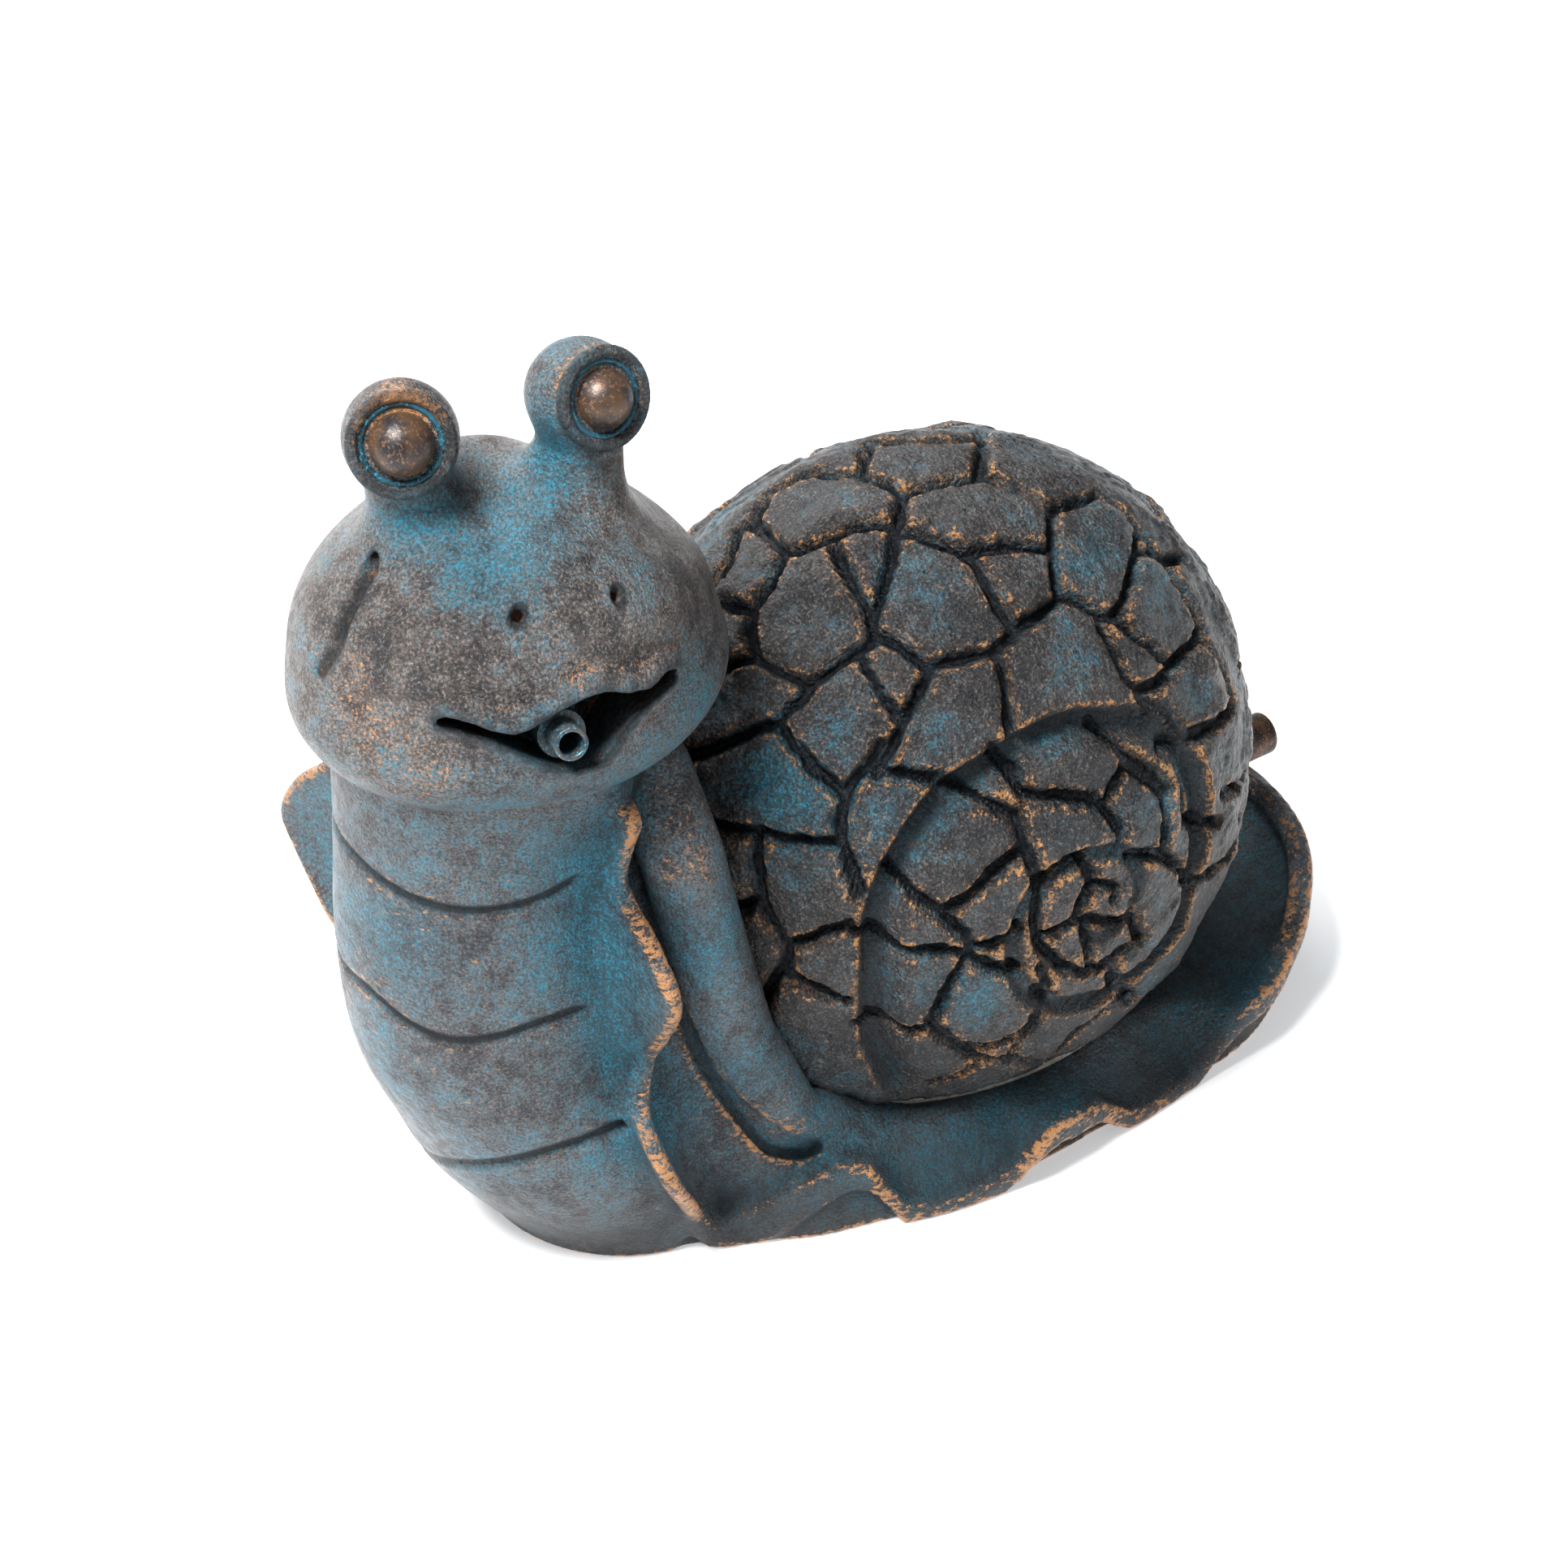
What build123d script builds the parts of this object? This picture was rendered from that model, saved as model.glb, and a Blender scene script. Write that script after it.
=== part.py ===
from build123d import *
import math
import os

# A garden snail that spits water, in cast stone with a bronze and verdigris finish.
# The neck rears up at -Y, the head looks to +X, the tail lies at +Y, and the foot stands on z = 0.
# The origin is the middle of the object's box, on the ground. All sizes are in millimetres.

# Clearances, and one overrun that serves all cuts
overrun = 5.0
bed_gap = 0.3
slide_gap = 0.05
hole_gap = 0.2
clip_gap = 0.15
pole_trim = 0.05
quarter_turn_deg = 90.0

# Foot: three circles whose common outline the foot's edge follows
foot_front_radius = 57.0
foot_flank_radius = 104.0
foot_tail_radius = 98.0
foot_front_y = -96.0
foot_flank_y = 4.0
foot_tail_y = 108.0
foot_edge_height = 7.0
foot_deck_height = 32.0
foot_deck_inset = 18.0
foot_wall = 15.0
foot_deck_thickness = 10.0
deck_opening_half_length = 60.0
deck_opening_half_width = 44.0

# Scallops: places where the wavy skirt lifts off the ground, the same on both sides
scallop_front_y = -60.0
scallop_front_radius = 30.0
scallop_flank_y = 34.0
scallop_flank_radius = 33.0
scallop_centre_below = 5.0
scallop_depth = 6.0

# Tail rim: a lip that stands up and leans out round the tail
tail_rim_height = 50.0
tail_rim_flare = 9.0
tail_rim_thickness = 10.0
tail_rim_foot_y = 130.0
tail_rim_top_y = 208.0

# Neck: a stack of ellipses that leans forward as it rises
neck_base_y = -99.0
neck_lean = 52.0
neck_radius = 62.0
neck_top_height = 224.0
neck_wall = 13.0
neck_socket_radius = 42.0
neck_socket_depth = 14.0
# each row: share of the height, of the lean, and of the radius across and along the body
neck_section_shares = (
    (0.00, 0.00, 0.93, 0.92),
    (0.18, 0.38, 0.95, 0.92),
    (0.40, 0.84, 0.95, 0.92),
    (0.62, 1.00, 0.92, 0.89),
    (0.82, 1.00, 0.89, 0.86),
    (1.00, 0.90, 0.93, 0.88),
)

# Mantle: the thick fold between the neck and the front of the shell
mantle_top_height = 214.0
mantle_half_width = 62.0
mantle_half_depth = 40.0
mantle_base_y = -60.0
mantle_lean = 52.0
# each row: share of the height, of the lean, of the half width and of the half depth
mantle_section_shares = (
    (0.06, 0.00, 1.26, 1.30),
    (0.24, 0.25, 1.21, 1.12),
    (0.44, 0.62, 1.20, 1.00),
    (0.76, 0.94, 1.18, 0.86),
    (0.94, 1.00, 1.02, 0.72),
    (1.00, 1.00, 0.84, 0.62),
)

# Frill: the wavy fin that runs down each side of the neck to the foot's edge
frill_thickness = 10.0
frill_near_reach = 88.0
frill_far_reach = 106.0
frill_twist_deg = 15.0
# each row: share of the neck's height, of the reach, and of the neck's lean at the fin's root
frill_section_shares = (
    (0.99, 0.66, 0.90),
    (0.90, 0.74, 0.90),
    (0.84, 0.70, 0.88),
    (0.75, 0.84, 0.84),
    (0.65, 0.96, 0.82),
    (0.55, 0.88, 0.80),
    (0.44, 0.72, 0.74),
    (0.33, 0.84, 0.60),
    (0.22, 0.94, 0.40),
    (0.12, 0.84, 0.14),
    (0.04, 0.82, -0.18),
)

# Shell: a body of revolution about a line across the snail, cut flat where it is bedded
shell_front_y = -99.0
shell_radius = 138.0
shell_sink = 13.0
shell_half_width = 115.0
shell_rim_wall = 14.0
shell_flank_wall = 22.0
whorl_depth = 5.0
whorl_width = 8.0
# the whorl's edge, as shares of the shell's radius: where it starts low at the front and how it
# swells, then where each half turn crosses the shell's middle height
whorl_start_share = (-0.44, -0.69)
whorl_swell_share = (-0.597, -0.362)
whorl_crossing_shares = (-0.652, 0.46, -0.30, 0.16, -0.04)
# Stone tiles: the joints between them are V grooves in the shell
joint_depth = 4.0
joint_half_angle_deg = 34.0
joint_overlap = 1.0
joint_mirror_share = 0.28
# each joint runs between two places on the dome: share of the half width, then share of a full
# turn about the shell's long axis, from the tail up over the top to the front
joint_shares = (
    (-0.27, 0.28, 0.07, 0.27), (0.07, 0.27, 0.10, 0.23), (0.10, 0.23, 0.30, 0.20),
    (-0.13, 0.20, 0.10, 0.23), (-0.26, 0.25, -0.09, 0.21), (0.07, 0.27, 0.18, 0.28),
    (-0.01, 0.32, 0.18, 0.28), (-0.27, 0.28, -0.27, 0.32), (-0.27, 0.32, -0.02, 0.32),
    (-0.25, 0.32, -0.15, 0.35), (-0.01, 0.32, 0.06, 0.35), (0.06, 0.35, 0.39, 0.36),
    (0.39, 0.36, 0.40, 0.32), (0.11, 0.31, 0.40, 0.32), (0.18, 0.28, 0.40, 0.32),
    (0.18, 0.28, 0.37, 0.26), (0.37, 0.26, 0.44, 0.22), (0.38, 0.26, 0.62, 0.26),
    (0.40, 0.32, 0.58, 0.31), (0.58, 0.31, 0.62, 0.26), (0.62, 0.26, 0.58, 0.22),
    (0.30, 0.20, 0.58, 0.22), (0.58, 0.22, 0.65, 0.20), (0.44, 0.16, 0.65, 0.20),
    (0.30, 0.20, 0.24, 0.17), (0.24, 0.17, 0.44, 0.16), (0.65, 0.20, 0.80, 0.18),
    (0.65, 0.20, 0.74, 0.15), (0.80, 0.18, 0.64, 0.12), (0.80, 0.18, 0.84, 0.11),
    (0.84, 0.11, 0.71, 0.07), (0.44, 0.15, 0.64, 0.12), (0.44, 0.15, 0.39, 0.12),
    (0.64, 0.12, 0.71, 0.07), (0.43, 0.33, 0.63, 0.34), (0.58, 0.31, 0.66, 0.38),
    (0.63, 0.27, 0.80, 0.31), (0.39, 0.36, 0.13, 0.42), (0.84, 0.22, 0.92, 0.12),
    (0.47, 0.38, 0.63, 0.39), (0.64, 0.37, 0.78, 0.35), (0.63, 0.39, 0.74, 0.44),
    (0.27, 0.44, 0.66, 0.42), (0.47, 0.43, 0.61, 0.50), (0.61, 0.50, 0.73, 0.47),
    (0.78, 0.35, 0.89, 0.33), (0.83, 0.31, 0.93, 0.24), (0.90, 0.33, 0.96, 0.38),
    (0.92, 0.37, 0.88, 0.44), (0.76, 0.42, 0.92, 0.49), (0.92, 0.49, 0.85, 0.57),
    (0.73, 0.55, 0.85, 0.57), (0.85, 0.57, 0.85, 0.69), (0.85, 0.57, 0.95, 0.66),
    (0.93, 0.00, 0.68, -0.03), (0.84, 0.03, 0.63, -0.01),
    (-0.13, 0.20, -0.24, 0.17), (0.24, 0.17, 0.15, 0.11), (-0.24, 0.17, -0.15, 0.11),
    (0.15, 0.11, -0.15, 0.11), (0.15, 0.11, 0.39, 0.12), (-0.15, 0.11, -0.39, 0.12),
    (0.39, 0.12, 0.44, 0.05), (0.44, 0.05, 0.71, 0.07), (0.44, 0.05, 0.34, -0.01),
    (0.15, 0.11, 0.08, 0.04), (0.08, 0.04, -0.24, 0.03), (0.08, 0.04, 0.34, -0.01),
    (0.34, -0.01, 0.63, -0.01), (0.34, -0.01, 0.38, -0.08), (-0.24, 0.03, -0.34, -0.01),
)

# Mortar beds under the shell and under the head
mortar_thickness = 3.0
mortar_setback = 1.0

# Head: a stack of ellipses, turned to look over the snail's left side
head_half_width = 78.0
head_half_depth = 66.0
head_half_height = 60.0
head_centre_x = 2.0
head_centre_y = -140.0
head_yaw_deg = 76.0
head_wall = 12.0
head_below = 36.0
head_passage_radius = 32.0
# each row: share of the half height, of the half width, of the half depth, and of the depth moved forward
head_section_shares = (
    (-0.60, 0.82, 0.87, 0.01),
    (-0.46, 0.93, 0.95, 0.03),
    (-0.22, 1.00, 1.00, 0.04),
    (0.03, 0.98, 0.98, 0.03),
    (0.33, 0.89, 0.90, 0.00),
    (0.63, 0.72, 0.74, -0.04),
    (0.84, 0.50, 0.52, -0.06),
    (0.96, 0.26, 0.28, -0.07),
)

# Muzzle above the mouth
muzzle_half_width = 52.0
muzzle_radius = 36.0
muzzle_forward = 29.0
muzzle_up = 14.0

# Mouth: its corners, upper lip and lower lip, seen along the spout, and its depth
mouth_half_width = 41.0
mouth_corner_up = 12.0
mouth_lobe_out = 20.0
mouth_lobe_up = 2.0
mouth_lip_up = 10.0
mouth_lower_lip_down = 18.0
mouth_back = 36.0
mouth_wall = 9.0

# Eyes: stalks, balls and the domes set in them, placed in the head's own right, forward and up
stalk_radius = 15.0
stalk_root_up = 36.0
stalk_root_spread = 26.0
eye_ball_radius = 19.5
eye_spread = 31.5
left_eye_up = 86.0
right_eye_up = 90.5
eye_dome_radius = 11.0
eye_dome_proud = 3.0
eye_ring_radius = 15.0
eye_ring_depth = 4.0
left_eye_yaw_deg = 60.0
right_eye_yaw_deg = 88.0
eye_pitch_deg = 20.0

# Spout: sleeve, push-in nozzle, seal, washer and nut on one axis that points a little upward
spout_root_down = 19.0
spout_pitch_deg = 15.0
sleeve_radius = 8.5
sleeve_front = 66.0
sleeve_flange_radius = 12.0
sleeve_flange_thickness = 3.0
sleeve_socket_depth = 26.0
nozzle_radius = 6.0
nozzle_bore_radius = 4.25
nozzle_front = 78.0
nozzle_seat_gap = 2.0
nozzle_edge_round = 0.8
water_bore_radius = 4.0
washer_thickness = 2.0
spout_nut_width = 26.0
spout_nut_thickness = 6.0
barb_radius = 5.5
barb_length = 18.0
seal_wire_radius = 0.7
seal_setback = 8.0

# Rear inlet: pipe, washer and nut through a boss in the shell's back
inlet_height = 69.0
inlet_pipe_radius = 9.0
inlet_bore_radius = 6.5
inlet_stub_length = 41.0
inlet_boss_radius = 20.0
inlet_boss_inset = 3.0
inlet_boss_length = 40.0
inlet_flange_radius = 14.0
inlet_flange_thickness = 3.0
inlet_nut_width = 30.0
inlet_nut_thickness = 6.0
inlet_thread_tail = 4.0
inlet_edge_round = 2.0

# Feed hose, its clips and its route inside the castings
hose_radius = 7.5
hose_bore_radius = 5.6
hose_run_height = 13.0
hose_straight = 4.0
hose_bend_share = 0.45
hose_neck_foot_share = -0.10
clip_width = 8.0
clip_thickness = 0.8
clip_lug_length = 6.0
clip_lug_width = 5.0


def ellipse_at(centre, half_x, half_y, turn_deg=0.0):
    turn = math.radians(turn_deg)
    return Plane(origin=centre, x_dir=(math.cos(turn), math.sin(turn), 0)) * Ellipse(half_x, half_y)


def ellipsoid_about_x(half_width, radius):
    """A body of revolution whose two poles are trimmed to tiny flats, so that it has no pointed pole."""
    arcs = [
        EllipticalCenterArc((0, 0), half_width, radius, start_angle=0, arc_size=quarter_turn_deg),
        EllipticalCenterArc(
            (0, 0), half_width, radius, start_angle=quarter_turn_deg, arc_size=quarter_turn_deg
        ),
        Line((-half_width, 0), (half_width, 0)),
    ]
    ends = half_width - pole_trim
    trim = Box(2 * ends, 3 * radius, 3 * radius)
    return revolve(make_face(arcs), Axis.X) & trim


def bar(place, radius, start, end):
    """A round bar along the z axis of a place, from start to end."""
    return place * Pos(0, 0, start) * extrude(Circle(radius), end - start)


def pipe(place, radius, bore, start, end):
    return bar(place, radius, start, end) - bar(place, bore, start - overrun, end + overrun)


def hex_nut(place, width, bore, start, thickness):
    blank = extrude(RegularPolygon(width / 2, 6, major_radius=False), thickness)
    return place * Pos(0, 0, start) * blank - bar(place, bore, start - overrun, start + thickness + overrun)


# Places that several pieces share

shell_centre_y = shell_front_y + shell_radius
shell_centre_height = shell_radius - shell_sink
mortar_top = foot_deck_height + mortar_thickness
head_base_height = neck_top_height + mortar_thickness
yaw = math.radians(head_yaw_deg)
head_right = Vector(math.cos(yaw), math.sin(yaw), 0)
head_forward = Vector(math.sin(yaw), -math.cos(yaw), 0)
head_up = Vector(0, 0, 1)
head_centre = Vector(head_centre_x, head_centre_y, head_base_height + head_below)
neck_top_centre = Vector(0, neck_base_y - neck_lean * neck_section_shares[-1][1], neck_top_height)


def head_point(right, forward, up):
    return head_centre + head_right * right + head_forward * forward + head_up * up


spout_pitch = math.radians(spout_pitch_deg)
spout_aim = head_forward * math.cos(spout_pitch) + head_up * math.sin(spout_pitch)
spout_place = Plane(origin=head_point(0, 0, -spout_root_down), x_dir=head_right, z_dir=spout_aim)
inlet_place = Plane(origin=(0, 0, inlet_height), x_dir=(1, 0, 0), z_dir=(0, 1, 0))
sleeve_seat = mouth_back + washer_thickness
spout_nut_start = mouth_back - mouth_wall - spout_nut_thickness
spout_barb_front = spout_nut_start - bed_gap
inlet_boss_back_y = shell_centre_y + shell_radius - inlet_boss_inset
inlet_boss_front_y = inlet_boss_back_y - inlet_boss_length
inlet_reach_y = shell_centre_y + shell_radius + inlet_stub_length
inlet_nut_start = inlet_boss_front_y - inlet_nut_thickness
inlet_barb_back = inlet_nut_start - inlet_thread_tail


def foot_outline(inset=0.0):
    rows = (
        (foot_front_y, foot_front_radius),
        (foot_flank_y, foot_flank_radius),
        (foot_tail_y, foot_tail_radius),
    )
    return make_hull([Pos(0, y) * Edge.make_circle(radius - inset) for y, radius in rows])


def foot_layer(start, end, start_inset=0.0, end_inset=0.0):
    low = Pos(0, 0, start) * foot_outline(start_inset)
    return loft([low, Pos(0, 0, end) * foot_outline(end_inset)], ruled=True)


def skirt_scallops():
    """Round arches cut into the skirt's outer face only."""
    rows = (
        (scallop_front_y, scallop_front_radius),
        (scallop_flank_y, scallop_flank_radius),
    )
    reach = foot_flank_radius + overrun
    arches = [
        Pos(0, y, -scallop_centre_below) * Rot(0, 90, 0) * Cylinder(radius, 2 * reach) for y, radius in rows
    ]
    return arches[0] + arches[1] - foot_layer(-overrun, 2 * foot_deck_height, scallop_depth, scallop_depth)


def tail_rim():
    outer = foot_layer(0, tail_rim_height, 0, -tail_rim_flare)
    hollow = foot_layer(0, tail_rim_height, tail_rim_thickness, tail_rim_thickness - tail_rim_flare)
    reach = foot_tail_radius + foot_flank_radius
    back = tail_rim_top_y + foot_tail_radius
    wedge = Polygon(
        (tail_rim_foot_y, 0),
        (back, 0),
        (back, tail_rim_height),
        (tail_rim_top_y, tail_rim_height),
        align=None,
    )
    return (outer - hollow) & extrude(Plane.YZ * wedge, reach, both=True)


def neck_stack(inset):
    sections = []
    for height, lean, across, along in neck_section_shares:
        centre = (0, neck_base_y - neck_lean * lean, neck_top_height * height)
        sections.append(ellipse_at(centre, neck_radius * across - inset, neck_radius * along - inset))
    return loft(sections)


def mantle():
    sections = []
    for height, lean, across, along in mantle_section_shares:
        centre = (0, mantle_base_y - mantle_lean * lean, mantle_top_height * height)
        sections.append(ellipse_at(centre, mantle_half_width * across, mantle_half_depth * along))
    return loft(sections)


def frill(side):
    """One fin. Each section reaches from the neck's middle out to the crest."""
    full_reach = frill_near_reach if side > 0 else frill_far_reach
    sections = []
    for height, reach, lean in frill_section_shares:
        middle = full_reach * reach / 2
        turn = math.radians(frill_twist_deg)
        centre = (
            side * middle * math.cos(turn),
            neck_base_y - neck_lean * lean + side * middle * math.sin(turn),
            neck_top_height * height,
        )
        sections.append(ellipse_at(centre, middle, frill_thickness / 2, frill_twist_deg))
    return loft(sections)


def shell_form(half_width, radius):
    return Pos(0, shell_centre_y, shell_centre_height) * ellipsoid_about_x(half_width, radius)


def body_casting():
    body = foot_layer(0, foot_edge_height)
    body += foot_layer(foot_edge_height, foot_deck_height, 0, foot_deck_inset)
    body -= skirt_scallops()
    body += tail_rim()
    body += neck_stack(0)
    body += mantle()
    body += frill(1)
    body += frill(-1)
    block = foot_flank_radius + foot_tail_radius
    lid = extrude(Pos(0, 0, neck_top_height) * Rectangle(2 * block, 2 * block), shell_radius)
    body -= lid
    above_deck = extrude(Pos(0, 0, foot_deck_height) * Rectangle(2 * block, 3 * block), 2 * shell_radius)
    body -= shell_form(shell_half_width + bed_gap, shell_radius + bed_gap) & above_deck
    ceiling = foot_deck_height - foot_deck_thickness
    body -= foot_layer(-overrun, ceiling, foot_wall, foot_wall + foot_deck_inset)
    opening = Pos(0, shell_centre_y, 0) * Ellipse(deck_opening_half_width, deck_opening_half_length)
    body -= extrude(opening, foot_deck_height + overrun)
    body -= neck_stack(neck_wall)
    socket = Plane(origin=neck_top_centre)
    body -= bar(socket, neck_socket_radius, -neck_socket_depth, overrun)
    return body


def whorl_groove():
    """The whorl's edge as a spiral groove on both flanks, drawn with half circles."""
    start, swell = (
        tuple(share * shell_radius for share in point) for point in (whorl_start_share, whorl_swell_share)
    )
    crossings = [share * shell_radius for share in whorl_crossing_shares]
    edges = [ThreePointArc(start, swell, (crossings[0], 0))]
    over = 1
    for here, there in zip(crossings, crossings[1:]):
        crown = ((here + there) / 2, over * abs(there - here) / 2)
        edges.append(ThreePointArc((here, 0), crown, (there, 0)))
        over = -over
    band = Plane.YZ * trace(edges, whorl_width)
    prism = extrude(band, shell_half_width + overrun, both=True)
    placed = Pos(0, shell_centre_y, shell_centre_height) * prism
    return placed - shell_form(shell_half_width - whorl_depth, shell_radius)


def dome_point(across, turn):
    """A place on the shell's dome."""
    angle = turn * 2 * math.pi
    reach = shell_radius * math.sqrt(1 - across * across)
    back = shell_centre_y + reach * math.cos(angle)
    return Vector(shell_half_width * across, back, shell_centre_height + reach * math.sin(angle))


def tile_joints():
    """V shaped prisms that cut the joints between the stone tiles, each along one chord of the dome."""
    mirrored = [
        (-a, turn_a, -b, turn_b)
        for a, turn_a, b, turn_b in joint_shares
        if min(a, b) >= joint_mirror_share
    ]
    shell_centre = Vector(0, shell_centre_y, shell_centre_height)
    prisms = []
    for a, turn_a, b, turn_b in (*joint_shares, *mirrored):
        start = dome_point(a, turn_a)
        run = dome_point(b, turn_b) - start
        outward = (start + run / 2 - shell_centre).normalized()
        place = Plane(origin=start, x_dir=outward, z_dir=run)
        half_width = 2 * joint_depth * math.tan(math.radians(joint_half_angle_deg))
        wedge = make_face(Polyline(
            (-joint_depth, 0), (joint_depth, half_width), (joint_depth, -half_width), close=True
        ))
        prisms.append(place * Pos(0, 0, -joint_overlap) * extrude(wedge, run.length + 2 * joint_overlap))
    return prisms


def shell_casting():
    shell = shell_form(shell_half_width, shell_radius) - whorl_groove()
    shell -= tile_joints()
    shell -= shell_form(shell_half_width - shell_flank_wall, shell_radius - shell_rim_wall)
    shell += bar(inlet_place, inlet_boss_radius, inlet_boss_front_y, inlet_boss_back_y)
    hole = inlet_pipe_radius + hole_gap
    shell -= bar(inlet_place, hole, inlet_boss_front_y - overrun, inlet_boss_back_y + overrun)
    block = 2 * (shell_radius + overrun)
    below = extrude(Pos(0, shell_centre_y, mortar_top) * Rectangle(block, block), block, dir=(0, 0, -1))
    return shell - below


def shell_mortar_bed():
    outer_drop = shell_centre_height - foot_deck_height
    outer_share = math.sqrt(1 - (outer_drop / shell_radius) ** 2)
    inner_drop = shell_centre_height - mortar_top
    inner_radius = shell_radius - shell_rim_wall
    inner_share = math.sqrt(1 - (inner_drop / inner_radius) ** 2)
    ring = Ellipse(
        shell_half_width * outer_share - mortar_setback,
        shell_radius * outer_share - mortar_setback,
    )
    ring -= Ellipse(
        (shell_half_width - shell_flank_wall) * inner_share + mortar_setback,
        inner_radius * inner_share + mortar_setback,
    )
    return extrude(Pos(0, shell_centre_y, foot_deck_height) * ring, mortar_thickness)


def neck_mortar_bed():
    across, along = (neck_radius * share - mortar_setback for share in neck_section_shares[-1][2:])
    ring = Ellipse(across, along) - Circle(neck_socket_radius)
    return Plane(origin=neck_top_centre) * extrude(ring, mortar_thickness)


def head_stack(inset):
    sections = []
    for height, across, along, ahead in head_section_shares:
        centre = head_point(0, head_half_depth * ahead, (head_half_height - inset) * height)
        half_width = head_half_width * across - inset
        half_depth = head_half_depth * along - inset
        sections.append(ellipse_at(centre, half_width, half_depth, head_yaw_deg))
    return loft(sections)


def eye_ball_centre(side):
    up = right_eye_up if side > 0 else left_eye_up
    return head_point(side * eye_spread, 0, up)


def eye_aim(side):
    turn = math.radians(right_eye_yaw_deg if side > 0 else left_eye_yaw_deg)
    pitch = math.radians(eye_pitch_deg)
    return Vector(math.sin(turn) * math.cos(pitch), -math.cos(turn) * math.cos(pitch), math.sin(pitch))


def eye_place(side):
    return Plane(origin=eye_ball_centre(side), z_dir=eye_aim(side))


def eye_stalk(side):
    ball = eye_ball_centre(side)
    root = head_point(side * stalk_root_spread, 0, stalk_root_up)
    place = Plane(origin=root, z_dir=ball - root)
    stalk = bar(place, stalk_radius, 0, (ball - root).length)
    return stalk + Pos(*ball) * Sphere(eye_ball_radius)


def eye_seat():
    """How far the dome's middle lies from the ball's middle."""
    return eye_ball_radius + eye_dome_proud - eye_dome_radius


def eye_dome(side):
    return eye_place(side) * Pos(0, 0, eye_seat()) * Sphere(eye_dome_radius)


def mouth_outline():
    corner = (mouth_half_width, mouth_corner_up)
    far_corner = (-mouth_half_width, mouth_corner_up)
    lip = (0, mouth_lip_up)
    edges = [
        ThreePointArc(far_corner, (-mouth_lobe_out, mouth_lobe_up), lip),
        ThreePointArc(lip, (mouth_lobe_out, mouth_lobe_up), corner),
        ThreePointArc(corner, (0, -mouth_lower_lip_down), far_corner),
    ]
    return make_face(edges)


def head_casting():
    head = head_stack(0)
    muzzle_place = Plane(origin=head_point(0, muzzle_forward, muzzle_up), x_dir=head_right, z_dir=(0, 0, 1))
    head += muzzle_place * ellipsoid_about_x(muzzle_half_width, muzzle_radius)
    cavity = head_stack(head_wall)
    around_mouth = Rectangle(
        2 * (mouth_half_width + mouth_wall), mouth_corner_up + mouth_lower_lip_down + 2 * mouth_wall
    )
    middle = (mouth_corner_up - mouth_lower_lip_down) / 2
    cavity -= spout_place * Pos(0, middle, mouth_back - mouth_wall) * extrude(around_mouth, head_half_depth)
    head -= cavity
    head -= spout_place * Pos(0, 0, mouth_back) * extrude(mouth_outline(), head_half_depth)
    head -= bar(spout_place, sleeve_radius + hole_gap, 0, sleeve_front)
    flange_front = sleeve_seat + sleeve_flange_thickness + bed_gap
    head -= bar(spout_place, sleeve_flange_radius + bed_gap, mouth_back, flange_front)
    for side in (-1, 1):
        head += eye_stalk(side)
        place = eye_place(side)
        ring_floor = eye_ball_radius - eye_ring_depth
        head -= bar(place, eye_ring_radius, ring_floor, eye_ball_radius + overrun)
        head -= place * Pos(0, 0, eye_seat()) * Sphere(eye_dome_radius + bed_gap)
    neck_line = Plane(origin=neck_top_centre)
    spigot_foot = bed_gap - neck_socket_depth
    head += bar(neck_line, neck_socket_radius - bed_gap, spigot_foot, mortar_thickness + overrun)
    return head - bar(neck_line, head_passage_radius, -neck_socket_depth, head_below)


def spout_sleeve():
    seat = sleeve_seat
    sleeve = bar(spout_place, sleeve_radius, spout_nut_start, sleeve_front)
    sleeve += bar(spout_place, sleeve_flange_radius, seat, seat + sleeve_flange_thickness)
    sleeve += bar(spout_place, barb_radius, spout_barb_front - barb_length, spout_nut_start)
    sleeve -= bar(spout_place, water_bore_radius, -barb_length, sleeve_front)
    socket = nozzle_radius + slide_gap
    sleeve -= bar(spout_place, socket, sleeve_front - sleeve_socket_depth, sleeve_front + overrun)
    groove = socket + 2 * seal_wire_radius + slide_gap
    middle = sleeve_front - seal_setback
    half = seal_wire_radius + slide_gap
    return sleeve - bar(spout_place, groove, middle - half, middle + half)


def spout_seal():
    place = spout_place * Pos(0, 0, sleeve_front - seal_setback)
    return place * Torus(nozzle_radius + slide_gap + seal_wire_radius, seal_wire_radius)


def spout_nozzle():
    start = sleeve_front - sleeve_socket_depth + nozzle_seat_gap
    nozzle = pipe(Plane.XY, nozzle_radius, nozzle_bore_radius, start, nozzle_front)
    mouth_edges = nozzle.edges().filter_by(GeomType.CIRCLE).group_by(Axis.Z)[-1]
    return spout_place * fillet(mouth_edges, nozzle_edge_round)


def spout_washer():
    bore = sleeve_radius + hole_gap
    return pipe(spout_place, sleeve_flange_radius, bore, mouth_back, sleeve_seat)


def spout_nut():
    bore = sleeve_radius + hole_gap
    return hex_nut(spout_place, spout_nut_width, bore, spout_nut_start, spout_nut_thickness)


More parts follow.
